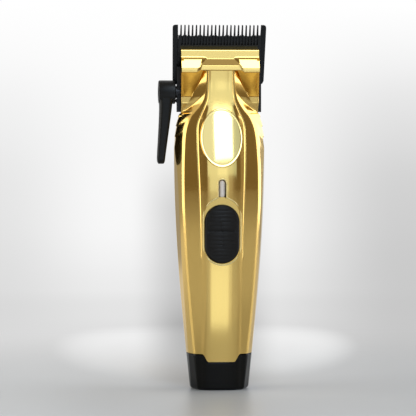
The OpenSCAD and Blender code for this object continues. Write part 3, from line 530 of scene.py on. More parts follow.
class Look(Enum):
    """The finishes of the clipper, each named for the real material, and for the light or shade that is
    painted into some of them.
    """

    # Gold electroplate over a polished zinc casting: a mirror with a very slight haze.
    GOLD = Finish("gold_plated_polished_zinc", "#f7d17c", "#f4cd77", 0.13, 0.4, 0.01, 0.015, metallic=1.0)
    # The badge is the same plating on a flatter plate with no haze at all.
    GOLD_PLATE = Finish("gold_plated_mirror_brass", "#f8d88c", "#f5d486", 0.07, 0.4, 0.0, 0.01, metallic=1.0)
    # The recess beside the neck is painted a darker, more orange gold as painted shade for the hollow it lies
    # in, and is made a little rougher.
    GOLD_RECESS_SHADE = Finish("gold_plated_zinc_painted_recess_shade", "#dfa440", "#d99e3a", 0.24, 0.4, 0.01, 0.02, metallic=1.0)
    # The bead round the switch is left satin, and is painted a paler, partly non-metallic gold as a painted
    # highlight that keeps it bright all round.
    GOLD_RIM_HIGHLIGHT = Finish("gold_plated_satin_zinc_painted_highlight", "#ffe9a6", "#fce49b", 0.38, 0.4, 0.01, 0.01, metallic=0.7)
    # High gloss ABS: sharp lamp reflections over near black.
    CAP = Finish("black_gloss_abs", "#0c0c0b", "#0a0a09", 0.14, 0.6, 0.01, 0.03, specular=0.2)
    # Glass filled nylon: satin, with a fine moulded texture.
    NYLON = Finish("black_satin_nylon", "#131312", "#100f0f", 0.42, 0.25, 0.08, 0.06, edge_mm=0.25,
                   specular=0.35)
    # Soft-touch moulded button.
    BUTTON = Finish("black_soft_touch_abs", "#1b1917", "#171514", 0.44, 0.3, 0.12, 0.06, specular=0.25)
    # Diamond-like carbon over ground tool steel: dark and slightly metallic, with grinding lines.
    BLADE = Finish("black_coated_ground_tool_steel", "#161616", "#121212", 0.34, 0.12, 0.1, 0.08,
                   metallic=0.6, texture=Texture.GROUND, anisotropic=0.3)
    CUTTER = Finish("black_coated_honed_steel", "#242424", "#1c1c1c", 0.3, 0.12, 0.1, 0.08, metallic=0.7,
                    texture=Texture.GROUND, anisotropic=0.3)
    # Powder coated die casting: satin, slightly pebbled.
    LEVER = Finish("black_powder_coated_zinc", "#141311", "#100f0e", 0.36, 0.25, 0.12, 0.06, specular=0.3)
    SCREW = Finish("black_oxide_steel", "#3a3a3c", "#303032", 0.36, 0.1, 0.1, 0.06, metallic=0.8,
                   texture=Texture.TURNED, edge_mm=0.1)
    STEEL = Finish("turned_stainless_steel", "#b9babc", "#a9aaad", 0.28, 0.1, 0.12, 0.08, metallic=1.0,
                   texture=Texture.TURNED, anisotropic=0.4, edge_mm=0.1)
    SPRING = Finish("rolled_spring_steel", "#b4b5b8", "#9d9ea2", 0.3, 0.1, 0.1, 0.08, metallic=1.0,
                    texture=Texture.GROUND)
    ACETAL = Finish("natural_acetal", "#dcd8cc", "#d4cfc1", 0.4, 0.4, 0.04, 0.05, edge_mm=0.2)
    BRONZE = Finish("oiled_sintered_bronze", "#a77c3c", "#93692f", 0.42, 0.15, 0.15, 0.1, metallic=1.0,
                    texture=Texture.TURNED, edge_mm=0.1)
    WINDING = Finish("enamelled_copper_wire", "#a4562b", "#8c4320", 0.3, 0.25, 0.5, 0.08, metallic=0.9,
                     texture=Texture.TURNED)
    MAGNET = Finish("sintered_ferrite", "#3a3b3d", "#2f3032", 0.6, 0.2, 0.15, 0.08, metallic=0.2)
    RUBBER = Finish("moulded_rubber", "#1b1b1c", "#161617", 0.7, 0.3, 0.15, 0.06)
    CHASSIS = Finish("grey_moulded_abs", "#303236", "#2a2c30", 0.48, 0.3, 0.1, 0.06, edge_mm=0.2)
    CELL = Finish("blue_shrink_sleeve", "#3768a6", "#325f99", 0.25, 1.5, 0.1, 0.06, coat=0.2)
    BOARD = Finish("green_solder_mask", "#1d5f3f", "#19563a", 0.35, 0.4, 0.15, 0.08)
    CHIP = Finish("moulded_epoxy", "#242527", "#1d1e20", 0.55, 0.2, 0.1, 0.06)
    CASE = Finish("stamped_tin_plate", "#a5a7aa", "#94969a", 0.35, 0.15, 0.1, 0.08, metallic=1.0,
                  texture=Texture.GROUND, edge_mm=0.1)
    KNOB = Finish("ivory_moulded_abs", "#ddd7c8", "#d5cebc", 0.45, 0.3, 0.05, 0.05)
    # The lens glows faintly in its own colour: painted light that lifts it out of the shade of its slot.
    LENS = Finish("milky_polycarbonate_painted_glow", "#ddd4c8", "#d2cac6", 0.18, 0.8, 0.02, 0.03, coat=0.3, glow=0.25)
    LAMP = Finish("white_diode_package", "#efe9d8", "#e8e0cb", 0.4, 0.4, 0.03, 0.05)
    CONTACT = Finish("gold_flashed_brass", "#d8b25a", "#cda54b", 0.22, 0.1, 0.08, 0.06, metallic=1.0,
                     texture=Texture.TURNED)
    RED_LEAD = Finish("red_silicone_insulation", "#a8231f", "#981d1a", 0.5, 0.3, 0.05, 0.05)
    BLACK_LEAD = Finish("black_silicone_insulation", "#1c1c1d", "#161617", 0.5, 0.3, 0.05, 0.05)


@lru_cache(maxsize=None)
def material_of(look: Look) -> bpy.types.Material:
    """Return the material of a look, built once."""
    return look.value.build()


# ---- the body's form


@dataclass(frozen=True)
class BodyForm:
    """The form that housings, cap, badge and switch share, in the same terms as the CAD solids."""

    base_hw: float = 14.5
    belly_hw: float = 22.4
    shoulder_hw: float = 19.2
    belly_z: float = 118.0
    shoulder_z: float = 136.5
    base_front: float = 10.5
    belly_front: float = 17.2
    front_z: float = 98.0
    neck_front: float = 7.6
    neck_top: float = 157.38
    base_back: float = 11.5
    belly_back: float = 18.5
    back_z: float = 100.0
    neck_back: float = 8.8
    back_top: float = 152.0
    back_power: float = 2.6
    seam: float = 0.12
    flat_hw: float = 6.2
    crown: Knots = ((2.6, 0.0), (5.5, 0.18), (8.1, 0.52))
    flank: float = math.tan(math.radians(24.0))
    flank_round: float = 1.6
    crease_in: float = 3.1
    crease_z: tuple[float, float] = (84.0, 100.0)
    side_lean: float = math.tan(math.radians(10.0))
    chamfer: float = math.radians(66.0)
    side_low: float = 0.8
    recess: float = 4.6
    recess_fall: float = 0.14
    foot_z: float = 144.6
    neck_hw: float = 6.9
    neck_rise: float = 13.5
    slope_hw: float = 13.9
    slope_hw_top: float = 9.2
    slope_rise: float = 9.5
    slope_steep: float = 0.62
    slope_z: tuple[float, float] = (140.0, 147.0)
    cheek_y: float = 2.0
    groove_hw: float = 0.42
    groove_deep: float = 0.3
    groove_z: tuple[float, float] = (62.0, 70.0)
    wall: float = 1.6
    gills: tuple[float, ...] = (134.9, 130.3, 124.9, 119.5)
    gill_depth: float = 0.5
    gill_tip: float = 0.1
    gill_slope: float = 0.9

    def half_width(self, z: Array) -> Array:
        """Return a quarter sine up to the belly, and a quarter ellipse above it."""
        t = clamp01((z - self.belly_z) / (self.shoulder_z - self.belly_z))
        high = self.shoulder_hw + (self.belly_hw - self.shoulder_hw) * np.sqrt(1 - t * t)
        return np.where(z <= self.belly_z, swell(z, self.base_hw, self.belly_hw, self.belly_z), high)

    def front_depth(self, z: Array) -> Array:
        """Return the depth in front of the axis, from the foot up to the neck."""
        return swell_and_fall(z, self.base_front, self.belly_front, self.front_z, self.neck_front,
                              self.neck_top)

    def back_depth(self, z: Array) -> Array:
        """Return the depth behind the axis, made the same way."""
        return swell_and_fall(z, self.base_back, self.belly_back, self.back_z, self.neck_back, self.back_top)

    def panel_edge(self, z: Array) -> Array:
        """Return the half width of the raised middle panel."""
        return curve_through(z, ((55, 10.3), (74, 10.5), (94, 11.0), (125, 11.7), (130.5, 11.5), (133, 10.9),
                                 (136, 9.6), (139.5, 8.0), (143, 6.75), (146, 6.3), (150, 6.2), (160, 6.2)))

    def crease(self, z: Array) -> Array:
        """Return the half width at the main crease, which runs parallel to the side and in to the neck."""
        top = curve_through(z, ((90, 18.85), (104, 19.0), (114, 18.85), (123.3, 18.3), (127, 17.8),
                                (130.5, 16.9), (133, 15.8), (135.2, 14.5), (137.5, 12.5), (139.6, 10.8),
                                (141.5, 9.5), (143.5, 8.3), (146, 7.4), (150, 6.8), (160, 6.75)))
        return mix(self.half_width(z) - self.crease_in, top, step_between(z, *self.crease_z))

    def neck_edge(self, z: Array) -> Array:
        """Return the half width of the neck's outer edge above the shoulders."""
        t = 1 - clamp01((z - self.shoulder_z) / self.neck_rise)
        return np.maximum(mix(self.neck_hw, self.shoulder_hw - 0.15, t**1.6), self.crease(z) + 0.35)

    def neck_foot(self, z: Array) -> Array:
        """Return the half width at the foot of the slope beside the neck."""
        up = z - self.shoulder_z
        low = mix(self.slope_hw, self.shoulder_hw - 0.1, (1 - clamp01(up / self.slope_rise)) ** 1.3)
        high = mix(self.slope_hw, self.slope_hw_top, clamp01((up - self.slope_rise) / 10.0))
        return np.where(up < self.slope_rise, low, high)

    def gill_inset(self, z: Array) -> Array:
        """Return the flutes' depth: nothing at each tip, full just under it, fading to the next tip."""
        inset = np.zeros_like(z)
        for top, bottom in zip(self.gills[:-1], self.gills[1:]):
            u = (top - z) / (top - bottom)
            flute = np.minimum(u / self.gill_tip, (1 - u) / (1 - self.gill_tip))
            inset = inset + np.where((u > 0) & (u < 1), flute, 0.0)
        return inset * self.gill_depth

    def front_corners(self, z: Array) -> Array:
        """Return the corners of the right half section from the middle to the seam.

        Args:
            z: Heights, of shape (N,).

        Returns:
            Array of shape (N, 12, 2) of half width and depth: middle, three corners of the crowned strip,
            the panel's edge with its groove (three points), main crease, outer edge, foot, side and seam.
        """
        w, f = self.half_width(z), self.front_depth(z)
        body, above = z <= self.shoulder_z, z > self.foot_z
        panel, crease = self.panel_edge(z), self.crease(z)

        def flank_depth(x: Array) -> Array:
            """Return the flank's depth at half width x."""
            return f - np.maximum(x - self.flat_hw, 0) * self.flank

        # The chamfer beyond the crease meets the leaning side, and draws in towards the shoulder.
        across, out = math.sin(self.chamfer), math.cos(self.chamfer)
        side = (crease * across + flank_depth(crease) * out - w * across) / (out - self.side_lean * across)
        turned = ease((z - self.belly_z + 8) / (self.shoulder_z - self.belly_z + 8))
        side = mix(np.maximum(side, self.side_low), self.side_low, turned)
        # Above the shoulder the slope beside the neck runs down to the recess.
        recess = self.recess - self.recess_fall * np.maximum(self.foot_z - z, 0)
        low = mix(recess, self.side_low, 1 - clamp01((z - self.shoulder_z) / 5))
        fall = mix(1.0, self.slope_steep, step_between(z, *self.slope_z))
        neck, foot = self.neck_edge(z), self.neck_foot(z)
        edge_d = np.maximum(low + 0.01, flank_depth(crease) - np.maximum(neck - crease, 0.0) * fall)

        def of_body(x: Array | float, depth: Array | float, share: float) -> tuple[Array, Array]:
            """Return a corner at a share of the side's depth on the body, and at (x, depth) above it."""
            return (np.where(body, w - share * side * self.side_lean, x), np.where(body, share * side, depth))

        on_side, on_seam = of_body(self.shoulder_hw, low, 0.3), of_body(self.shoulder_hw, 0.0, 0.0)
        on_side = (np.where(above, foot, on_side[0]), np.where(above, 0.5 * (low + self.cheek_y), on_side[1]))
        on_seam = (np.where(above, foot, on_seam[0]), np.where(above, self.cheek_y, on_seam[1]))
        # The crown rises over the middle, and a groove runs along the panel's edge.
        narrow = np.minimum((panel - 1.0) / 9.3, 1.0)
        crown = [(x * narrow, f - sink * narrow**3) for x, sink in self.crown]
        groove = self.groove_deep * step_between(z, *self.groove_z)
        rims = [(panel + d, flank_depth(panel + d) - sink)
                for d, sink in ((-self.groove_hw, 0.0), (0.0, groove), (self.groove_hw, 0.0))]
        corners = [(0 * z, f), *crown, *rims, (crease, flank_depth(crease)), of_body(neck, edge_d, 1.0),
                   of_body(foot, low, 0.6), on_side, on_seam]
        return np.stack([np.stack(pair, -1) for pair in corners], -2)

    def front_section(self, z: Array) -> Array:
        """Return the rounded right half section at heights z, of shape (N, M, 2), half width and depth."""
        reach = (1.1, 1.0, 1.4, 0.14, 0.2, 0.14, 1.5, 0.8, 0.5, 0.5)
        return round_corners(self.front_corners(z), reach, 4, 6)

    def front_grid(self, z: Array) -> Array:
        """Return points of the whole front at heights of shape (R, C), C = twice the half section less one.

        Args:
            z: Height of every point, the same columns as the section from the left seam to the right.

        Returns:
            Array of shape (R, C, 3).
        """
        rows, cols = z.shape
        section = self.front_section(z.reshape(-1))
        m = section.shape[1]
        index = np.abs(np.arange(cols) - (m - 1))
        sign = np.where(np.arange(cols) < m - 1, -1.0, 1.0)
        pick = section.reshape(rows, cols, m, 2)[:, np.arange(cols), index, :]
        x, depth = pick[..., 0], pick[..., 1]
        w = self.half_width(z)
        mask = step_between(x, self.crease(z) + 0.2, w - 0.6) * (z < self.shoulder_z)
        x = x - self.gill_inset(z - self.gill_slope * (w - x)) * mask
        return np.stack([x * sign, -depth, z], -1)

    def foot_widths(self) -> Array:
        """Return the half width of every point of the front's section just above the foot."""
        cols = 2 * self.front_section(np.array([50.0])).shape[1] - 1
        return np.abs(self.front_grid(np.full((1, cols), 15.5))[0, :, 0])

    def front_y(self, x: Array, z: Array) -> Array:
        """Return the depth of the front at x and z between the panel's edges, its corner rounded."""
        past = soft_hinge(np.abs(x) - self.flat_hw, self.flank_round)
        return self.front_depth(z) - self.flank * (past - 0.1)

    def back_grid(self, z: Array, cols: int) -> Array:
        """Return the whole back at heights z of shape (R,): x = r sin a, y = seam + r cos a.

        The section is the superellipse (sin a / w)^n + (cos a / b)^n = r^-n.
        """
        a = np.radians(np.linspace(-90, 90, cols))[None, :]
        zz = z[:, None] + 0 * a
        w, b = self.half_width(zz), self.back_depth(zz) - self.seam
        n = self.back_power
        r = ((np.abs(np.sin(a)) / w) ** n + (np.abs(np.cos(a)) / b) ** n) ** (-1 / n)
        x, y = r * np.sin(a), r * np.cos(a)
        mask = step_between(y, 5.0, 0.5) * (zz < self.shoulder_z)
        x = x - np.sign(x) * self.gill_inset(zz) * mask
        return np.stack([x, self.seam + y, zz], -1)


FORM = BodyForm()


def shrink(points: Array, wall: float) -> Array:
    """Return the points drawn in towards the body's axis by about a wall, on each of x and y."""
    inner = points.copy()
    inner[..., 0] -= np.sign(points[..., 0]) * np.minimum(wall, np.abs(points[..., 0]) * 0.12)
    size = np.abs(points[..., 1])
    inner[..., 1] -= np.sign(points[..., 1]) * wall * clamp01((size - 0.2) / (2.2 * wall))
    return inner


BLADE_LEAN = math.radians(15.0)
TIPS_Y, TIPS_Z = -2.0, 180.0


def in_blade_plane(outline: Array, height: Array | float) -> Array:
    """Return an outline of the blade plane, a height out of its back, in the shared frame.

    The plane's origin lies at the tooth tips. The points are turned about X by the lean, then moved.
    """
    y, z = np.broadcast_arrays(height, outline[:, 1])
    c, s = math.cos(BLADE_LEAN), math.sin(BLADE_LEAN)
    return np.stack([outline[:, 0], y * c - z * s + TIPS_Y, y * s + z * c + TIPS_Z], -1)


# ---- the housings


@dataclass
class Housings:
    """The gold front and rear housings with the pocket of the switch."""

    tongue_low: float = 14.2
    edge_low: float = 18.1
    tongue_hw: float = 6.3
    tongue_slope: float = 3.1
    pocket_hw: float = 8.85
    pocket_low: float = 62.5
    pocket_high: float = 95.0
    floor_y: float = 14.3
    slot_hw: float = 1.75
    slot_high: float = 104.0
    rear_top: float = 150.3
    screws: tuple[tuple[float, float], ...] = ((15.9, 56.0), (17.5, 112.0))
    counterbore: float = 2.3
    seat_y: float = 8.0
    screw_bore: float = 1.25
    boss_r: float = 3.2
    boss_y: float = 0.3
    shaft_bore: float = 2.9
    rim: float = 0.65
    neck_r: float = 1.6
    window: tuple[float, ...] = (-2.2, 76.4, 2.2, 84.0)
    cheek: tuple[float, ...] = (15.85, 136.9, 40.0, 170.0)

    def row_heights(self) -> Array:
        """Return the front's heights above the tongue, closer together where the form turns."""
        return np.concatenate([np.arange(20.0, 118.0, 1.0), np.arange(118.0, 136.4, 0.3), [136.3, 136.49],
                               np.arange(136.7, 144.59, 0.35), [144.59], np.arange(144.65, 157.3, 0.9),
                               [FORM.neck_top]])

    def build_shell(self, name: str, outer: Array, cuts: list[Obj]) -> Obj:
        """Return a gold casting between an outer grid and the same grid drawn in, with solids cut out."""
        obj = build_object(name, Surface().add_shell(outer, shrink(outer, FORM.wall)), Look.GOLD, 28)
        cut_away(obj, cuts, 28)
        return obj

    def build_front(self) -> Obj:
        """Build the front housing, whose foot steps down to a tongue in the middle."""
        x0 = FORM.foot_widths()
        start = mix(self.tongue_low, self.edge_low,
                    step_between(x0, self.tongue_hw, self.tongue_hw + self.tongue_slope))
        first = start + (20.0 - start) * np.linspace(0, 0.9, 8)[:, None]
        z = np.concatenate([first, np.repeat(self.row_heights()[:, None], len(x0), axis=1)])
        pocket = stadium(self.pocket_hw, self.pocket_low, self.pocket_high)
        slot = stadium(self.slot_hw, self.pocket_high - 5, self.slot_high)
        return self.build_shell("front_shell", FORM.front_grid(z),
                                [punch(outline, "y", -30, -8) for outline in (pocket, slot)])

    def keyhole(self) -> tuple[Array, Array]:
        """Return the keyhole's outline in x and z with its outward normals, the inner corners rounded.

        The outline goes up the right of the pocket, round a small arc into the slot, over and down.
        """
        mid, neck_r = self.pocket_high - self.pocket_hw, self.neck_r
        # Centre of the blending arc, tangent to the slot's side and the pocket's upper half circle.
        cx = self.slot_hw + neck_r
        cz = mid + math.sqrt((self.pocket_hw + neck_r) ** 2 - cx * cx)
        lean = math.atan2(cz - mid, cx)
        a = np.linspace(-np.pi / 2, lean, 60)
        middle = np.where(a < 0, self.pocket_low + self.pocket_hw, mid)
        pocket = np.stack([self.pocket_hw * np.cos(a), middle + self.pocket_hw * np.sin(a)], -1)
        b = np.linspace(lean + np.pi, np.pi, 12)
        blend = np.stack([cx + neck_r * np.cos(b), cz + neck_r * np.sin(b)], -1)
        c = np.linspace(0, np.pi / 2, 14)
        cap = np.stack([self.slot_hw * np.cos(c), self.slot_high - self.slot_hw * (1 - np.sin(c))], -1)
        right = np.concatenate([pocket, blend[1:], cap])
        line = np.concatenate([right, np.stack([-right[-2:0:-1, 0], right[-2:0:-1, 1]], -1)])
        ring = evenly(line, 260)
        tangent = np.roll(ring, -1, axis=0) - np.roll(ring, 1, axis=0)
        tangent /= np.linalg.norm(tangent, axis=1, keepdims=True)
        return ring, np.stack([tangent[:, 1], -tangent[:, 0]], -1)

    def around_keyhole(self, out: Array, rise: Array) -> Surface:
        """Return a closed profile swept round the keyhole.

        Args:
            out: How far out of the keyhole each point of the profile lies.
            rise: How proud of the front each point stands.

        Returns:
            The surface, held in front of the pocket's floor.
        """
        ring, normal = self.keyhole()
        x, z = (ring[:, k][None, :] + out[:, None] * normal[:, k][None, :] for k in range(2))
        depth = np.maximum(FORM.front_y(x, z) + rise[:, None], self.floor_y - FORM.wall)
        return Surface().add_grid(np.stack([x, -depth, z], -1), wrap=True)

    def build_pocket(self) -> Obj:
        """Build the pocket: its wall, swept round the keyhole, and its floor with the switch's window."""
        surface = self.around_keyhole(np.array([0.0, 0.0, self.rim, self.rim + 0.4, 0.0]),
                                      np.array([-9.0, -0.3, -0.6, -9.0, -9.0]))
        floor = stadium(self.pocket_hw + 0.4, self.pocket_low - 0.4, self.pocket_high + 0.4)
        surface.add_prism(floor, along_axis("y"), -self.floor_y, -self.floor_y + FORM.wall)
        obj = build_object("switch_pocket", surface, Look.GOLD, 40)
        cut_away(obj, [punch(rectangle(*self.window), "y", -15, -12)], 40)
        return obj

    def build_rim(self) -> Obj:
        """Build the satin bead round the keyhole, in the gold with the painted highlight: half an ellipse on
        a sunk foot.
        """
        a = np.linspace(0, np.pi, 9)
        out = np.concatenate([[0.0], self.rim * (0.5 - 0.5 * np.cos(a)), [self.rim, 0.0]])
        rise = np.concatenate([[-0.5], 0.4 * self.rim * np.sin(a) + 0.02, [-0.5, -0.5]])
        return build_object("switch_rim", self.around_keyhole(out, rise), Look.GOLD_RIM_HIGHLIGHT, 50)

    def build_rear(self) -> Obj:
        """Build the rear housing: a superellipse wall, bored for the screws and the lever's shaft."""
        z = np.concatenate([np.arange(self.edge_low, 118.0, 1.2), np.arange(118.0, 136.5, 0.3),
                            np.arange(136.5, self.rear_top, 0.8), [self.rear_top]])
        cuts = [punch(circle(self.counterbore, s * x, h), "y", self.seat_y, 30)
                for x, h in self.screws for s in (-1, 1)]
        cuts += [punch(rectangle(*self.cheek) * [s, 1], "y", -1, 30) for s in (-1, 1)]
        cuts.append(punch(circle(self.shaft_bore, *TaperLever.axis), "x", -20, -14))
        return self.build_shell("rear_shell", FORM.back_grid(z, 97), cuts)

    def build_bosses(self) -> Obj:
        """Build the screw bosses: tubes with a seat, each as deep as the back is beside its screw."""
        surface = Surface()
        n, seat, wide = FORM.back_power, self.seat_y, self.counterbore
        narrow, r = self.screw_bore, self.boss_r
        for x, h in self.screws:
            share = (x + 3.0) / float(FORM.half_width(np.array(h)))
            end = float(FORM.back_depth(np.array(h))) * (1 - share**n) ** (1 / n)
            end = max(end - 0.2, seat + 0.3)
            profile = np.array([[self.boss_y, narrow], [self.boss_y, r], [end, r], [end, wide], [seat, wide],
                                [seat, narrow]])
            for s in (-1, 1):
                surface.add_turned(profile, "y", (s * x, h), 40)
        return build_object("rear_bosses", surface, Look.GOLD, 40)

    def build(self) -> None:
        """Build and attach the housings."""
        for build, node in (
                (self.build_front, "front_housing"), (self.build_pocket, ""), (self.build_rim, ""),
                (self.build_rear, "rear_housing"), (self.build_bosses, "")):
            attach(build(), "housing", node)


@dataclass
class BaseCap:
    """The gloss black cap at the foot, with its notch for the gold tongue."""

    height: float = 17.98
    notch_low: float = 14.08
    notch_hw: float = 6.18
    notch_slope: float = 3.1
    round_r: float = 1.7
    wall: float = 1.8
    floor: float = 2.2

    def ring(self, z: Array, inset: Array, scale: Array) -> Array:
        """Return rings of the whole section at heights (R, C), drawn in by insets and scaled, (R, 1)."""
        front_cols = len(FORM.foot_widths())
        front = FORM.front_grid(z[:, :front_cols])
        back = FORM.back_grid(z[:, front_cols - 1], z.shape[1] - front_cols + 2)[:, ::-1][:, 1:-1]
        whole = np.concatenate([front, back], axis=1)
        flat = whole[..., :2]
        size = np.linalg.norm(flat, axis=-1, keepdims=True)
        whole[..., :2] = flat * (1 - (inset[..., None] + 0.03) / size) * scale[..., None]
        whole[..., 2] = z
        return whole

    def build(self) -> None:
        """Build the cap from rings: under the floor, round the foot, up the side and down inside."""
        x0 = FORM.foot_widths()
        notch = mix(self.notch_low, self.height,
                    step_between(x0, self.notch_hw, self.notch_hw + self.notch_slope))
        top = np.concatenate([notch, np.full(60, self.height)])
        a = np.linspace(0, np.pi / 2, 9)[:, None]
        side = np.concatenate([np.linspace(0, 1, 12)[1:-1], [0.985, 1.0]])[:, None]
        z = np.concatenate([np.zeros((4, len(top))), self.round_r * (1 - np.cos(a)) + 0 * top,
                            self.round_r + (top - self.round_r) * side, top[None, :],
                            np.stack([top - 0.1, 0 * top + 8.0]), np.full((3, len(top)), self.floor)])
        insets = np.concatenate([[self.round_r] * 4, self.round_r * (1 - np.sin(a[:, 0])),
                                 np.zeros(len(side) - 1), [0.12, self.wall - 0.12], [self.wall] * 5])
        scales = np.concatenate([[0.15, 0.5, 0.8, 0.95], np.ones(len(insets) - 6), [0.6, 0.2]])
        rings = self.ring(z, insets[:, None], scales[:, None])
        obj = build_object("cap_shell", Surface().add_loft(rings), Look.CAP, 40)
        # Radius, place and depth of the jack's hole, the screws' seats and holes and the contacts' holes.
        holes = [(1.75, 0.0, -4.0, 12.0)]
        for s in (-1, 1):
            holes += [(2.1, s * 10.0, 0.0, 1.4), (1.2, s * 10.0, 0.0, 12.0), (1.6, s * 4.2, 6.5, 12.0)]
        cut_away(obj, [punch(circle(r, x, y), "z", -1, deep) for r, x, y, deep in holes], 35)
        attach(obj, "housing", "base_cap")


@dataclass
class BladeCover:
    """The gold cover over the cutter: a band, a bar under it that folds over the neck, and a skirt."""

    half: float = 19.2
    foot: float = 144.72
    low: float = 157.5
    wall_top: float = 163.5
    top: float = 167.9
    bar_y: float = 8.75
    neck_hw_top: float = 7.4
    neck_hw_low: float = 10.4
    wall: float = 1.2
    scoop: float = 0.8
    lean: float = 0.14

    def build_bar(self) -> Obj:
        """Build the bar and band: a closed profile swept along X, hollowed from inside.

        The profile goes smoothly from the bar's to the neck's folded one between two half widths.
        """
        bar = np.array([[4.6, 156.4], [5.9, 156.4], [8.4, 156.4], [self.bar_y, 157.0], [8.62, 158.9],
                        [6.4, 163.3], [5.4, 163.9], [4.95, 167.5], [4.6, self.top], [1.15, self.top],
                        [0.0, self.wall_top], [0.0, self.low]])
        # In the middle the face under the band leans back further than the blocks beside it.
        fold = bar.copy()
        fold[:6] = [[4.6, self.low], [5.9, self.low], [8.2, self.low], [8.45, 157.7], [8.3, 159.9],
                    [5.5, 163.25]]
        reach = (0.7, 0.3, 0.25, 0.2, 0.3)
        ring_bar = round_corners(bar, (0.1, 0.45, 0.5, 0.3, 0.5, *reach), 4, 5)[None, :-1]
        ring_fold = round_corners(fold, (0.1, 0.45, 0.3, 0.1, 0.12, *reach), 4, 5)[None, :-1]
        x = np.unique([*np.linspace(-self.half, self.half, 140), 0.25 - self.half, self.half - 0.25])[:, None]
        neck = mix(self.neck_hw_low, self.neck_hw_top, clamp01((ring_bar[..., 1] - self.low) / 6.0))
        outside = step_between(np.abs(x), neck - 0.9, neck + 1.5)
        depth, z = (mix(ring_fold[..., k], ring_bar[..., k], outside) for k in range(2))
        obj = build_object("cover_bar", Surface().add_loft(np.stack([x + 0 * depth, -depth, z], -1)),
                           Look.GOLD, 30)
        hollow = np.array([[1.0, 150.0], [-3.4, 150.0], [-3.4, 157.0], [-5.6, 157.0], [-5.6, 161.9],
                           [-3.7, 167.0], [1.0, 167.0]])
        cut_away(obj, [punch(hollow, "x", self.wall - self.half, self.half - self.wall)], 30)
        return obj

    def build_skirt(self) -> Obj:
        """Build the skirt and its side walls: a scoop, (1 - u^2)(1 - v^2) deep, on each side of the neck."""
        u, v = np.linspace(-1, 1, 17)[None, :], np.linspace(-1, 1, 15)[:, None]
        high = self.low + 0.4
        z = mix(self.foot, high, (v + 1) / 2) + 0 * u
        inner = np.interp(z, [self.foot, 146.0, 157.4, high], [13.4, 12.9, 8.5, 8.2])
        x = mix(inner, self.half, (u + 1) / 2)
        scoop = self.scoop * (1 - u**2) * (1 - v**2)
        wall = rectangle(self.half - self.wall, self.foot, self.half, self.wall_top)
        surface = Surface()
        for s in (-1, 1):
            surface.add_shell(np.stack([s * x, scoop - 4.6, z], -1), np.stack([s * x, 0 * x - 3.4, z], -1))
            surface.add_prism(wall * [s, 1], along_axis("y"), -4.5, -0.15)
        # Its front half leans out under the bar by tan 8 degrees.
        for points in surface.points:
            points[:, 1] -= np.where(points[:, 1] < -3.0, self.lean * (points[:, 2] - self.foot), 0.0)
        # The skirt's scoops take the darker recess gold: painted shade.
        obj = build_object("cover_skirt", surface, Look.GOLD_RECESS_SHADE, 30)
        add_bevel(obj, 0.22)
        return obj

    def build(self) -> None:
        """Build and attach the bar and the skirt."""
        attach(self.build_bar(), "housing", "blade_cover")
        attach(self.build_skirt(), "housing")


@dataclass
class Badge:
    """The bare oval plate on the shoulder, with its fine raised ring, and the indicator's lens."""

    hw: float = 10.3
    hh: float = 14.4
    z: float = 124.4
    proud: float = 0.3
    slope_z: float = 127.0
    slope: float = 0.2549
    slope_bend: float = 4.31e-5
    across_r: float = 70.0
    lens_hw: float = 1.2
    lens_low: float = 95.4
    lens_high: float = 103.6
    lens_foot_y: float = 14.9
    lens_rim_y: float = 16.1
    lens_dome: float = 0.75

    def build_plate(self) -> Obj:
        """Build the plate as rings of an ellipse: its face, a groove and a fine ring, and a sloped edge."""
        face, ring = np.linspace(0.02, 0.9, 26), [0.925, 0.95, 0.97, 0.985, 0.995]
        t = np.concatenate([face, ring, [1.0, 1.016, 1.02]])[:, None]
        lift = np.concatenate([0 * face, [-0.03, 0.0, 0.04, 0.05, 0.0], [0.0] * 3])[:, None] + self.proud
        a = turn(120)
        x, z = self.hw * t * np.sin(a), self.z + self.hh * t * np.cos(a)
        # Up the plate its depth falls by s u - b u^3 with u the height over slope_z, across it by x^2 / 2 r.
        u = z - self.slope_z
        fall = (self.slope * u - self.slope_bend * u**3) + x * x / (2 * self.across_r)
        depth = FORM.front_depth(np.array(self.slope_z)) - fall + lift
        depth[-2:] = FORM.front_y(x[-2:], z[-2:]) - np.array([[0.02], [0.9]])
        surface = Surface().add_loft(np.stack([x, -depth, z], -1))
        return build_object("oval_plate", surface, Look.GOLD_PLATE, 30)

    def build_lens(self) -> Obj:
        """Build the lens: stadium rings that rise as a quarter of an ellipse to a dome."""
        rings = [on_front(stadium(self.lens_hw, self.lens_low, self.lens_high), self.lens_foot_y)]
        for angle in np.linspace(0, np.pi / 2, 9):
            k = self.lens_hw * (1 - math.cos(angle)) * 0.98
            rings.append(on_front(stadium(self.lens_hw - k, self.lens_low + k, self.lens_high - k),
                                  self.lens_rim_y + self.lens_dome * math.sin(angle)))
        return build_object("lens_dome", Surface().add_loft(np.stack(rings)), Look.LENS, 40)

    def build(self) -> None:
        """Build and attach the plate and the lens."""
        attach(self.build_plate(), "housing", "badge_plate")
        attach(self.build_lens(), "housing", "indicator_lens")


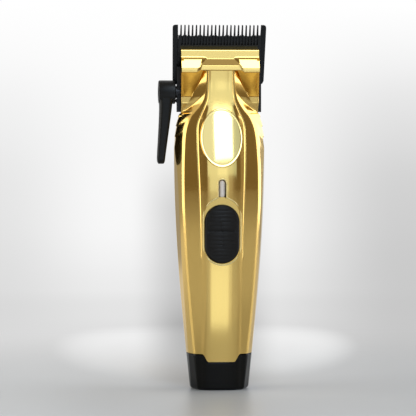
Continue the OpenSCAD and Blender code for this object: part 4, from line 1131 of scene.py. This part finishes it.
@dataclass
class SwitchButton:
    """The crowned button with moulded ribs and one deeper groove across its middle."""

    hw: float = 8.6
    low: float = 62.8
    length: float = 29.0
    floor_y: float = 14.35
    crown_r: float = 22.0
    front_y: float = 17.8
    pitch: float = 1.85
    rib: float = 0.3
    groove: float = 0.7
    groove_up: float = 0.1
    groove_hw: float = 0.45
    round_r: float = 1.1
    middle: float = 78.6

    def build(self) -> None:
        """Build the button as rings of a stadium: depth is the crown less the ribs less the rounded rim."""
        corner = self.round_r * (1 - np.cos(np.linspace(0, np.pi / 2, 8)))
        rings: list[Array] = []
        for d in (0.0, *corner, *np.linspace(1.4, self.hw - 0.02, 34)):
            line = evenly(stadium(self.hw - d, self.low + d, self.low + self.length - d, 80), 150)
            x, up = line[:, 0], line[:, 1] - self.middle
            crown = self.front_y - x * x / (2 * self.crown_r) - (up / (self.length / 2)) ** 4
            ribs = self.rib - self.rib * np.abs(np.cos(np.pi * up / self.pitch)) ** 0.5
            groove = self.groove * np.exp(-((up - self.groove_up) / self.groove_hw) ** 2)
            edge = self.round_r * (1 - math.sqrt(1 - (1 - min(d / self.round_r, 1.0)) ** 2))
            rings.append(on_front(line, crown - (ribs + groove) * step_between(d, 0.9, 2.2) - edge))
        surface = Surface().add_loft(np.stack([on_front(rings[0][:, ::2], self.floor_y), *rings]))
        obj = build_object("ribbed_button", surface, Look.BUTTON, 50)
        attach(obj, "switch", "switch_button")


@dataclass
class Blades:
    """The fixed blade with its pointed teeth, and the cutter behind the cover's edge."""

    hw: float = 23.2
    length: float = 30.2
    thickness: float = 2.6
    tip_t: float = 0.9
    taper: float = 0.5
    pitch: float = 1.9
    teeth: int = 21
    tooth_len: float = 9.0
    slot_hw: float = 0.64
    slot_draw: float = 0.27
    screw_x: float = 18.3
    screw_up: float = 4.2
    screw_r: float = 1.2
    cutter_hw: float = 20.4
    cutter_t: float = 1.9
    cutter_top: float = -4.9
    cutter_len: float = 13.0
    cutter_pitch: float = 1.49
    cutter_slots: int = 26
    cutter_tooth: float = 4.7

    def comb(self) -> Array:
        """Return the fixed blade's outline: pointed teeth between round slot ends, and broad corners."""
        u = np.linspace(0, 1, 9)
        # Half width of a slot at depth u of its length: wide at the tips, closing to a round end.
        half_slot = self.slot_hw - self.slot_draw * u**1.4
        deep = 0.96 * self.tooth_len
        a, r = np.linspace(np.pi, 2 * np.pi, 7)[1:-1], half_slot[-1]
        down = np.stack([-half_slot, -deep * u], -1)
        down[0, 1] = -0.25
        slot = np.concatenate([down, np.stack([r * np.cos(a), r * np.sin(a) - deep], -1),
                               down[::-1] * [-1, 1], [[self.pitch / 2, 0.0]]])
        starts = (np.arange(self.teeth + 1) - self.teeth / 2) * self.pitch
        teeth = np.concatenate([slot + [start, 0.0] for start in starts])[:-1]
        teeth[[0, -1], 1] = 0.0
        w, b = self.hw, self.hw - self.taper
        side = np.array([[w - 1.3, 0.0], [w - 0.55, -0.2], [w - 0.12, -0.7], [w, -1.5], [b, 2 - self.length],
                         [b - 0.6, 0.6 - self.length], [b - 2, -self.length]])
        return np.concatenate([teeth, side, side[::-1] * [-1, 1]])

    def build_fixed(self) -> Obj:
        """Build the fixed blade: its front is flat, its back falls from full thickness to the thin tips."""
        outline = self.comb()
        back = mix(self.tip_t, self.thickness, clamp01(-outline[:, 1] / (self.tooth_len + 2)))
        surface = Surface().add_slab(in_blade_plane(outline, 0.0), in_blade_plane(outline, back))
        obj = build_object("comb_blade", surface, Look.BLADE, 30)
        holes = [circle(self.screw_r, s * self.screw_x, self.screw_up - self.length, 40) for s in (-1, 1)]
        cut_away(obj, [punch(hole, in_blade_plane, -1.0, 4.0) for hole in holes], 30)
        return obj

    def build_cutter(self) -> Obj:
        """Build the cutter: an outline with square slots, and a thin web that closes them at the back, a dark
        sheet that stands in for the shade seen through the slots.
        """
        w, top, low = self.cutter_hw, self.cutter_top, self.cutter_top - self.cutter_len
        half = np.array([[-0.5, 0.0], [-0.38, -0.4], [-0.38, 0.2 - self.cutter_tooth],
                         [-0.2, -self.cutter_tooth]])
        slot = np.concatenate([half, half[::-1] * [-1, 1]]) + [0.0, top]
        centres = (np.arange(self.cutter_slots) - (self.cutter_slots - 1) / 2) * self.cutter_pitch
        side = np.array([[w - 0.3, top], [w, top - 0.3], [w, low]])
        outline = np.concatenate([side[::-1] * [-1, 1], *(slot + [c, 0.0] for c in centres), side])
        surface = Surface().add_prism(outline, in_blade_plane, -0.05 - self.cutter_t, -0.05)
        # The web is a dark sheet behind the slots: painted shade that shows them dark instead of seen
        # through.
        surface.add_prism(rectangle(0.3 - w, low + 0.3, w - 0.3, top - 0.5), in_blade_plane, -0.35, -0.06)
        obj = build_object("cutting_comb", surface, Look.CUTTER, 30)
        add_bevel(obj, 0.13, 2)
        return obj

    def build(self) -> None:
        """Build and attach both blades."""
        attach(self.build_fixed(), "housing", "fixed_blade")
        attach(self.build_cutter(), "cutter", "cutter_blade")


@dataclass
class TaperLever:
    """The lever: a turned hub and an arm that tapers and leans out to a rounded end."""

    axis: tuple[float, float] = (2.5, 147.0)
    hub_r: float = 5.85
    hub_in: float = -21.7
    hub_out: float = -30.0
    bore: float = 1.2
    end_start: float = 32.2
    end_len: float = 3.4
    squareness: float = 5.0

    def hub_profile(self) -> Array:
        """Return the hub's profile of x and radius, with the screw's recess and the step behind."""
        r, behind, face = self.hub_r, self.hub_in, self.hub_out
        return np.array([[behind, 2.55], [behind, 5.2], [behind - 0.35, r], [face + 0.6, r],
                         [face + 0.18, r - 0.18], [face, r - 0.6], [face, 2.75], [face + 0.25, 2.35],
                         [face + 1.3, 2.3], [face + 1.3, self.bore], [behind - 1.0, self.bore],
                         [behind - 1.0, 2.55]])

    def build(self) -> None:
        """Build the lever: the arm is a loft of rounded rectangles from the hub to its end.

        Each ring is the curve |cos a|^p + |sin a|^p = r^-p, stretched between the arm's sides and faces.
        """
        surface = Surface().add_turned(self.hub_profile(), "x", self.axis, 96)
        down = np.array([2.5, 5.5, 8.0, 11.0, 15.0, 20.0, 25.0, 29.0, 32.2, 33.6, 34.5, 35.1, 35.5])[:, None]
        outer = curve_through(down, ((2.5, -29.85), (7, -29.6), (12, -29.7), (24, -30.3), (33, -30.75),
                                     (34.6, -30.6), (35.5, -30.1)))
        inner = curve_through(down, ((2.5, -23.0), (7, -23.4), (12, -24.0), (24, -25.6), (33, -26.8),
                                     (34.6, -27.0), (35.5, -27.6)))
        half = curve_through(down, ((2.5, 5.0), (7, 4.8), (15, 4.35), (27, 3.7), (32.2, 3.4)))
        end = clamp01((down - self.end_start) / self.end_len)
        half = half * np.sqrt(np.maximum(1 - end * end, 0.06))
        a, p = turn(56), self.squareness
        r = (np.abs(np.cos(a)) ** p + np.abs(np.sin(a)) ** p) ** (-1 / p)
        y, z = self.axis
        surface.add_loft(np.stack([0.5 * (outer + inner) + 0.5 * (inner - outer) * r * np.cos(a),
                                   y + half * r * np.sin(a), z - down + 0 * a], -1))
        obj = build_object("lever_arm", surface, Look.LEVER, 38)
        attach(obj, "lever", "taper_lever")


# ---- the carried-over solids


NODE_LOOKS: dict[Look, str] = {
    Look.NYLON: "head_bracket",
    Look.SCREW: "blade_screws lever_shaft lever_washer lever_screw housing_screws base_screws",
    Look.ACETAL: "cutter_yoke",
    Look.STEEL: "yoke_screws detent_ball motor_shaft cam_roller bracket_screws",
    Look.CASE: "taper_carriage motor_can battery_tabs slide_switch charge_jack",
    Look.SPRING: "cutter_springs detent_spring contact_springs",
    Look.CHASSIS: "motor_end_cap chassis",
    Look.BRONZE: "motor_bearings eccentric_cam",
    Look.WINDING: "stator_coils",
    Look.MAGNET: "rotor_magnet",
    Look.RUBBER: "motor_sleeve",
    Look.CELL: "battery_cell",
    Look.BOARD: "circuit_board charge_board",
    Look.CHIP: "board_chips",
    Look.KNOB: "switch_knob",
    Look.LAMP: "indicator_led",
    Look.CONTACT: "charge_contacts",
    Look.RED_LEAD: "motor_leads",
    Look.BLACK_LEAD: "battery_leads",
}


def find_node(node: str) -> Obj:
    """Return the scene's object of a CAD node."""
    entry = frame["nodes"][node]
    return entry if isinstance(entry, Obj) else bpy.data.objects[entry.get("object", node)]


def dress_nodes() -> None:
    """Give each carried-over solid the material of what it is made of."""
    for look, nodes in NODE_LOOKS.items():
        for node in nodes.split():
            obj = find_node(node)
            if not obj.material_slots:
                obj.data.materials.append(None)
            for slot in obj.material_slots:
                slot.material = material_of(look)
            LOG.info("dressed %s", node)


# ---- the studio


# The sweep's tones fan out from a point in front of the object, so far out and so high, in metres.
FAN_OUT, FAN_HIGH = 1.07, 0.127
# Their middle line runs to the right by this much for each metre back, as tan 5 degrees.
FAN_TURN = 0.0875
# They are laid out on an upright plane this far behind the object.
PLANE = 0.67


def direction(azimuth: float, elevation: float) -> Vector:
    """Return the unit vector of an azimuth from the front and an elevation, in degrees."""
    az, el = math.radians(azimuth), math.radians(elevation)
    return Vector((math.sin(az) * math.cos(el), -math.cos(az) * math.cos(el), math.sin(el)))


def place_facing(obj: Obj, target: Vector, offset: Vector) -> None:
    """Link a lamp or camera at an offset from a target, turned to face it."""
    obj.location = target + offset
    obj.rotation_euler = (-offset).to_track_quat("-Z", "Y").to_euler()
    bpy.context.scene.collection.objects.link(obj)


@dataclass(frozen=True)
class Lamp:
    """A rectangular softbox that fills a window of directions as seen from the object."""

    name: str
    azimuth: tuple[float, float]
    elevation: tuple[float, float]
    distance: float
    height: float
    level: float
    colour: str

    def build(self) -> None:
        """Make the lamp: its power is level times pi times its area, so its face shows that level.

        Its size is 2 d tan(w / 2) each way for a window of w degrees at distance d.
        """
        width, height = (2 * self.distance * math.tan(math.radians((high - low) / 2))
                         for low, high in (self.azimuth, self.elevation))
        data = bpy.data.lights.new(self.name, "AREA")
        data.shape = "RECTANGLE"
        data.size, data.size_y = width, height
        data.energy = self.level * math.pi * width * height
        data.color = linear(self.colour)[:3]
        obj = bpy.data.objects.new(self.name, data)
        obj.visible_camera = False
        place_facing(obj, Vector((0.0, 0.0, self.height)),
                     direction(sum(self.azimuth) / 2, sum(self.elevation) / 2) * self.distance)


@dataclass(frozen=True)
class Value:
    """A number that the shader works out, with sums on it written as usual."""

    tree: bpy.types.NodeTree
    socket: Socket

    def math(self, operation: str, other: "Value | float" = 0.0) -> "Value":
        """Return the result of a Math node on this value and another."""
        part = other.socket if isinstance(other, Value) else other
        node = add_node(self.tree, "ShaderNodeMath", {"operation": operation}, {0: self.socket, 1: part})
        return Value(self.tree, node.outputs[0])

    def __add__(self, other: "Value | float") -> "Value":
        """Return the sum."""
        return self.math("ADD", other)

    def __sub__(self, other: "Value | float") -> "Value":
        """Return the difference."""
        return self.math("SUBTRACT", other)

    def __mul__(self, other: "Value | float") -> "Value":
        """Return the product."""
        return self.math("MULTIPLY", other)

    def __truediv__(self, other: "Value | float") -> "Value":
        """Return the quotient."""
        return self.math("DIVIDE", other)

    def __pow__(self, other: float) -> "Value":
        """Return the power."""
        return self.math("POWER", other)

    def __abs__(self) -> "Value":
        """Return the size."""
        return self.math("ABSOLUTE")

    def ramp(self, low: float, high: float, start: float = 0.0, end: float = 1.0) -> "Value":
        """Return a smooth step of this value from start at low to end at high."""
        node = add_node(self.tree, "ShaderNodeMapRange", {"interpolation_type": "SMOOTHSTEP"}, {
            "Value": self.socket, "From Min": low, "From Max": high, "To Min": start, "To Max": end})
        return Value(self.tree, node.outputs["Result"])

    def tone(self, knots: Knots) -> Socket:
        """Return a grey that runs smoothly through knots of value and linear tone."""
        low, high = knots[0][0], knots[-1][0]
        along = add_node(self.tree, "ShaderNodeMapRange", inputs={
            "Value": self.socket, "From Min": low, "From Max": high})
        node = add_node(self.tree, "ShaderNodeValToRGB", inputs={"Fac": along.outputs["Result"]})
        node.color_ramp.interpolation = "CARDINAL"
        elements = node.color_ramp.elements
        for at, _ in knots[1:-1]:
            elements.new((at - low) / (high - low))
        for element, (_, tone) in zip(elements, knots):
            element.color = (tone, tone, tone, 1.0)
        return node.outputs["Color"]

    def blend(self, a: Socket | str, b: Socket | str) -> Socket:
        """Return the mix of two colours by this value, each a socket or an sRGB hex value."""
        ends = {key: linear(c) if isinstance(c, str) else c for key, c in ((6, a), (7, b))}
        node = add_node(self.tree, "ShaderNodeMix", {"data_type": "RGBA"}, {"Factor": self.socket, **ends})
        return node.outputs[2]


def coordinates(tree: bpy.types.NodeTree, source: str) -> list[Value]:
    """Return the three coordinates of an output of the Texture Coordinate node."""
    place = add_node(tree, "ShaderNodeTexCoord")
    split = add_node(tree, "ShaderNodeSeparateXYZ", inputs={"Vector": place.outputs[source]})
    return [Value(tree, socket) for socket in split.outputs]


@dataclass
class Studio:
    """The pale sweep, the softboxes, the room around them and the camera."""

    lamps: tuple[Lamp, ...] = (
        Lamp("front_panel", (-15, 24), (11, 44), 1.6, 0.1, 0.8, "#bcdfff"),
        Lamp("front_low", (-9, 10.5), (-2, 11), 1.6, 0.1, 0.72, "#bcdfff"),
        Lamp("streak", (3, 8.5), (10.5, 16.5), 1.5, 0.1, 0.4, "#cfe6ff"),
        Lamp("overhead", (0, 15), (24.7, 62), 1.3, 0.125, 3.8, "#dcefff"),
        Lamp("right_wall", (75, 135), (-8, 34), 1.0, 0.1, 2.2, "#f6f9ff"),
        Lamp("left_wall", (-112, -64), (-7.5, 30), 1.0, 0.1, 1.8, "#fbfaf4"),
    )
    middle_tones: Knots = (
        (-0.25, 0.58), (-0.228, 0.5), (-0.209, 0.515), (-0.184, 0.6), (-0.126, 0.71), (-0.084, 0.765),
        (-0.03, 0.79), (0.015, 0.86), (0.041, 0.92), (0.072, 0.94), (0.137, 0.95), (0.23, 1.0))
    left_tones: Knots = ((-0.25, 0.71), (-0.228, 0.64), (-0.126, 0.69), (-0.03, 0.7), (0.041, 0.76),
                         (0.105, 0.823), (0.169, 0.92), (0.23, 1.0))
    right_tones: Knots = ((-0.25, 0.64), (-0.228, 0.5), (-0.126, 0.565), (-0.03, 0.58), (0.041, 0.61),
                          (0.105, 0.687), (0.169, 0.847), (0.23, 1.0))
    bend: float = 0.12
    wall: float = 1.3
    distance: float = 1.07
    cover: float = 0.2063
    aim: tuple[float, float, float] = (-0.0056, 0.0, 0.0896)
    azimuth: float = -5.0
    elevation: float = 2.0

    def sweep(self) -> Obj:
        """Build the floor and backdrop: a profile of floor, quarter circle and wall swept along X."""
        a, r = np.linspace(0, np.pi / 2, 16), self.bend
        y = np.concatenate([[-3.0, -1.2, -0.3, 0.0, 0.3, 0.7], self.wall + r * np.sin(a), [self.wall + r]])
        z = np.concatenate([[0.0] * 6, r * (1 - np.cos(a)), [4.5]])
        x = np.linspace(-5, 5, 21)[:, None]
        points = np.stack(np.broadcast_arrays(x / MM, y / MM, z / MM - 0.05), -1)
        return build_object("sweep", Surface().add_grid(points), self.paper(), 60)

    def paper(self) -> bpy.types.Material:
        """Return the sweep's paper: matt under the object, softly glowing towards the wall.

        Its tone depends on two numbers, with the fan's point at distance d and height h and the plane at p.
        The rise is 0.3 (y - p) on the floor in front. Further back it is h + (d + p) (z - h) / (y + d), a
        height that shrinks with the distance. The fan is (d + p) (x - t y) / (y + d), with t its middle
        line's turn, so a shade widens towards the wall.
        """
        material = bpy.data.materials.new("matt_paper_sweep")
        tree = empty_tree(material)
        x, y, z = coordinates(tree, "Object")
        away, gap, scale = y + FAN_OUT, y - PLANE, FAN_OUT + PLANE
        floor = (gap * 0.3).math("MAXIMUM", gap * 3.0)
        rise = floor.math("MINIMUM", (z - FAN_HIGH) * scale / away + FAN_HIGH)
        fan = (x - y * FAN_TURN) * scale / away
        # The tones are painted light and shade on the paper: lighter up the wall, darker on the floor in
        # front and towards the right, and darker still far out at the sides.
        tone = fan.ramp(-0.08, -0.178).blend(rise.tone(self.middle_tones), rise.tone(self.left_tones))
        tone = fan.ramp(0.03, 0.155).blend(tone, rise.tone(self.right_tones))
        outside = abs(fan).ramp(0.2, 0.34) * rise.ramp(-0.06, 0.0)
        tone = outside.blend(tone, "#a3a3a3")
        # A pool of light lies behind the foot, where (fan / 0.125)^4 + ((y - 0.2) / 0.16)^2 is low.
        size = (abs(fan + 0.0095) / 0.125) ** 4.0 + (abs(y - 0.2) / 0.16) ** 2.0
        tone = size.ramp(1.1, 0.15).blend(tone, "#f0f0f0")
        # Painted shadow: the paper behind the object is darkened where the object takes some of the light off
        # it.
        depth = rise.ramp(0.13, 0.06, 0.0, 0.32) + rise.ramp(-0.03, -0.1, 0.0, 0.12)
        painted_shadow = abs(fan + 0.008).ramp(0.062, 0.016) * depth * y.ramp(-0.05, 0.05)
        tone = painted_shadow.blend(tone, "#000000")
        # A strip of light runs forward from the foot, at azimuths of -9 to 14 degrees.
        off = abs(x.math("ARCTAN2", y * -1.0) - 0.044)
        strip = off.ramp(0.25, 0.13) * y.ramp(-0.102, -0.135) * y.ramp(-0.56, -0.36)
        path = add_node(tree, "ShaderNodeLightPath")
        camera, glossy, through = (Value(tree, path.outputs[f"Is {kind} Ray"])
                                   for kind in ("Camera", "Glossy", "Transmission"))
        seen = camera.math("MAXIMUM", glossy).math("MAXIMUM", through)
        glow = seen * y.ramp(0.04, 0.3).math("MAXIMUM", strip)
        paper = add_node(tree, "ShaderNodeMix", {"data_type": "RGBA", "blend_type": "MULTIPLY"}, {
            "Factor": 1.0, 6: tone, 7: (1.13, 1.15, 1.18, 1.0)})
        matt = add_node(tree, "ShaderNodeBsdfPrincipled", inputs={
            "Base Color": paper.outputs[2], "Roughness": 0.4})
        light = add_node(tree, "ShaderNodeEmission", inputs={
            "Color": strip.blend(tone, "#e4f2ff"), "Strength": (strip * 0.35 + 1.0).socket})
        both = add_node(tree, "ShaderNodeMixShader", inputs={
            0: glow.socket, 1: matt.outputs[0], 2: light.outputs[0]})
        add_node(tree, "ShaderNodeOutputMaterial", inputs={"Surface": both.outputs[0]})
        return material

    def room(self) -> None:
        """Build the world: dim between the front panel and the side walls, pale at the sides.

        The level depends on the direction alone. Its azimuth is the arc tangent of x over -y.
        """
        world = bpy.data.worlds.new("studio")
        tree = empty_tree(world)
        x, y, z = coordinates(tree, "Generated")
        azimuth = abs(x.math("ARCTAN2", y * -1.0))
        tone: Socket | str = "#b8b5b4"
        for value, low, high, colour in (
                (azimuth, 0.16, 0.38, "#776b56"), (z, -0.02, -0.24, "#b3a27f"),
                (azimuth, 1.05, 1.3, "#d8d0c0"), (azimuth, 1.95, 2.2, "#b3a78f"), (z, 0.84, 0.92, "#aeaba6")):
            tone = value.ramp(low, high).blend(tone, colour)
        fill = add_node(tree, "ShaderNodeBackground", inputs={"Color": tone, "Strength": 1.0})
        add_node(tree, "ShaderNodeOutputWorld", inputs={"Surface": fill.outputs[0]})
        bpy.context.scene.world = world

    def camera(self) -> None:
        """Place a long lens a little left of the front and slightly above the middle."""
        data = bpy.data.cameras.new("camera")
        data.sensor_width = 36.0
        data.lens = data.sensor_width * self.distance / self.cover
        obj = bpy.data.objects.new("camera", data)
        place_facing(obj, Vector(self.aim), direction(self.azimuth, self.elevation) * self.distance)
        bpy.context.scene.camera = obj

    def build(self) -> None:
        """Build the sweep, the lamps, the room and the camera."""
        self.sweep()
        for lamp in self.lamps:
            lamp.build()
        self.room()
        self.camera()
        bpy.context.scene.view_settings.view_transform = "Standard"


def main() -> None:
    """Build the studio and every sub-assembly, then dress the solids that stay."""
    logging.basicConfig(level=logging.INFO, format="%(name)s: %(message)s")
    for part in (Studio, Housings, BaseCap, BladeCover, Badge, SwitchButton, Blades, TaperLever):
        part().build()
    dress_nodes()


if __name__ == "__main__":
    main()
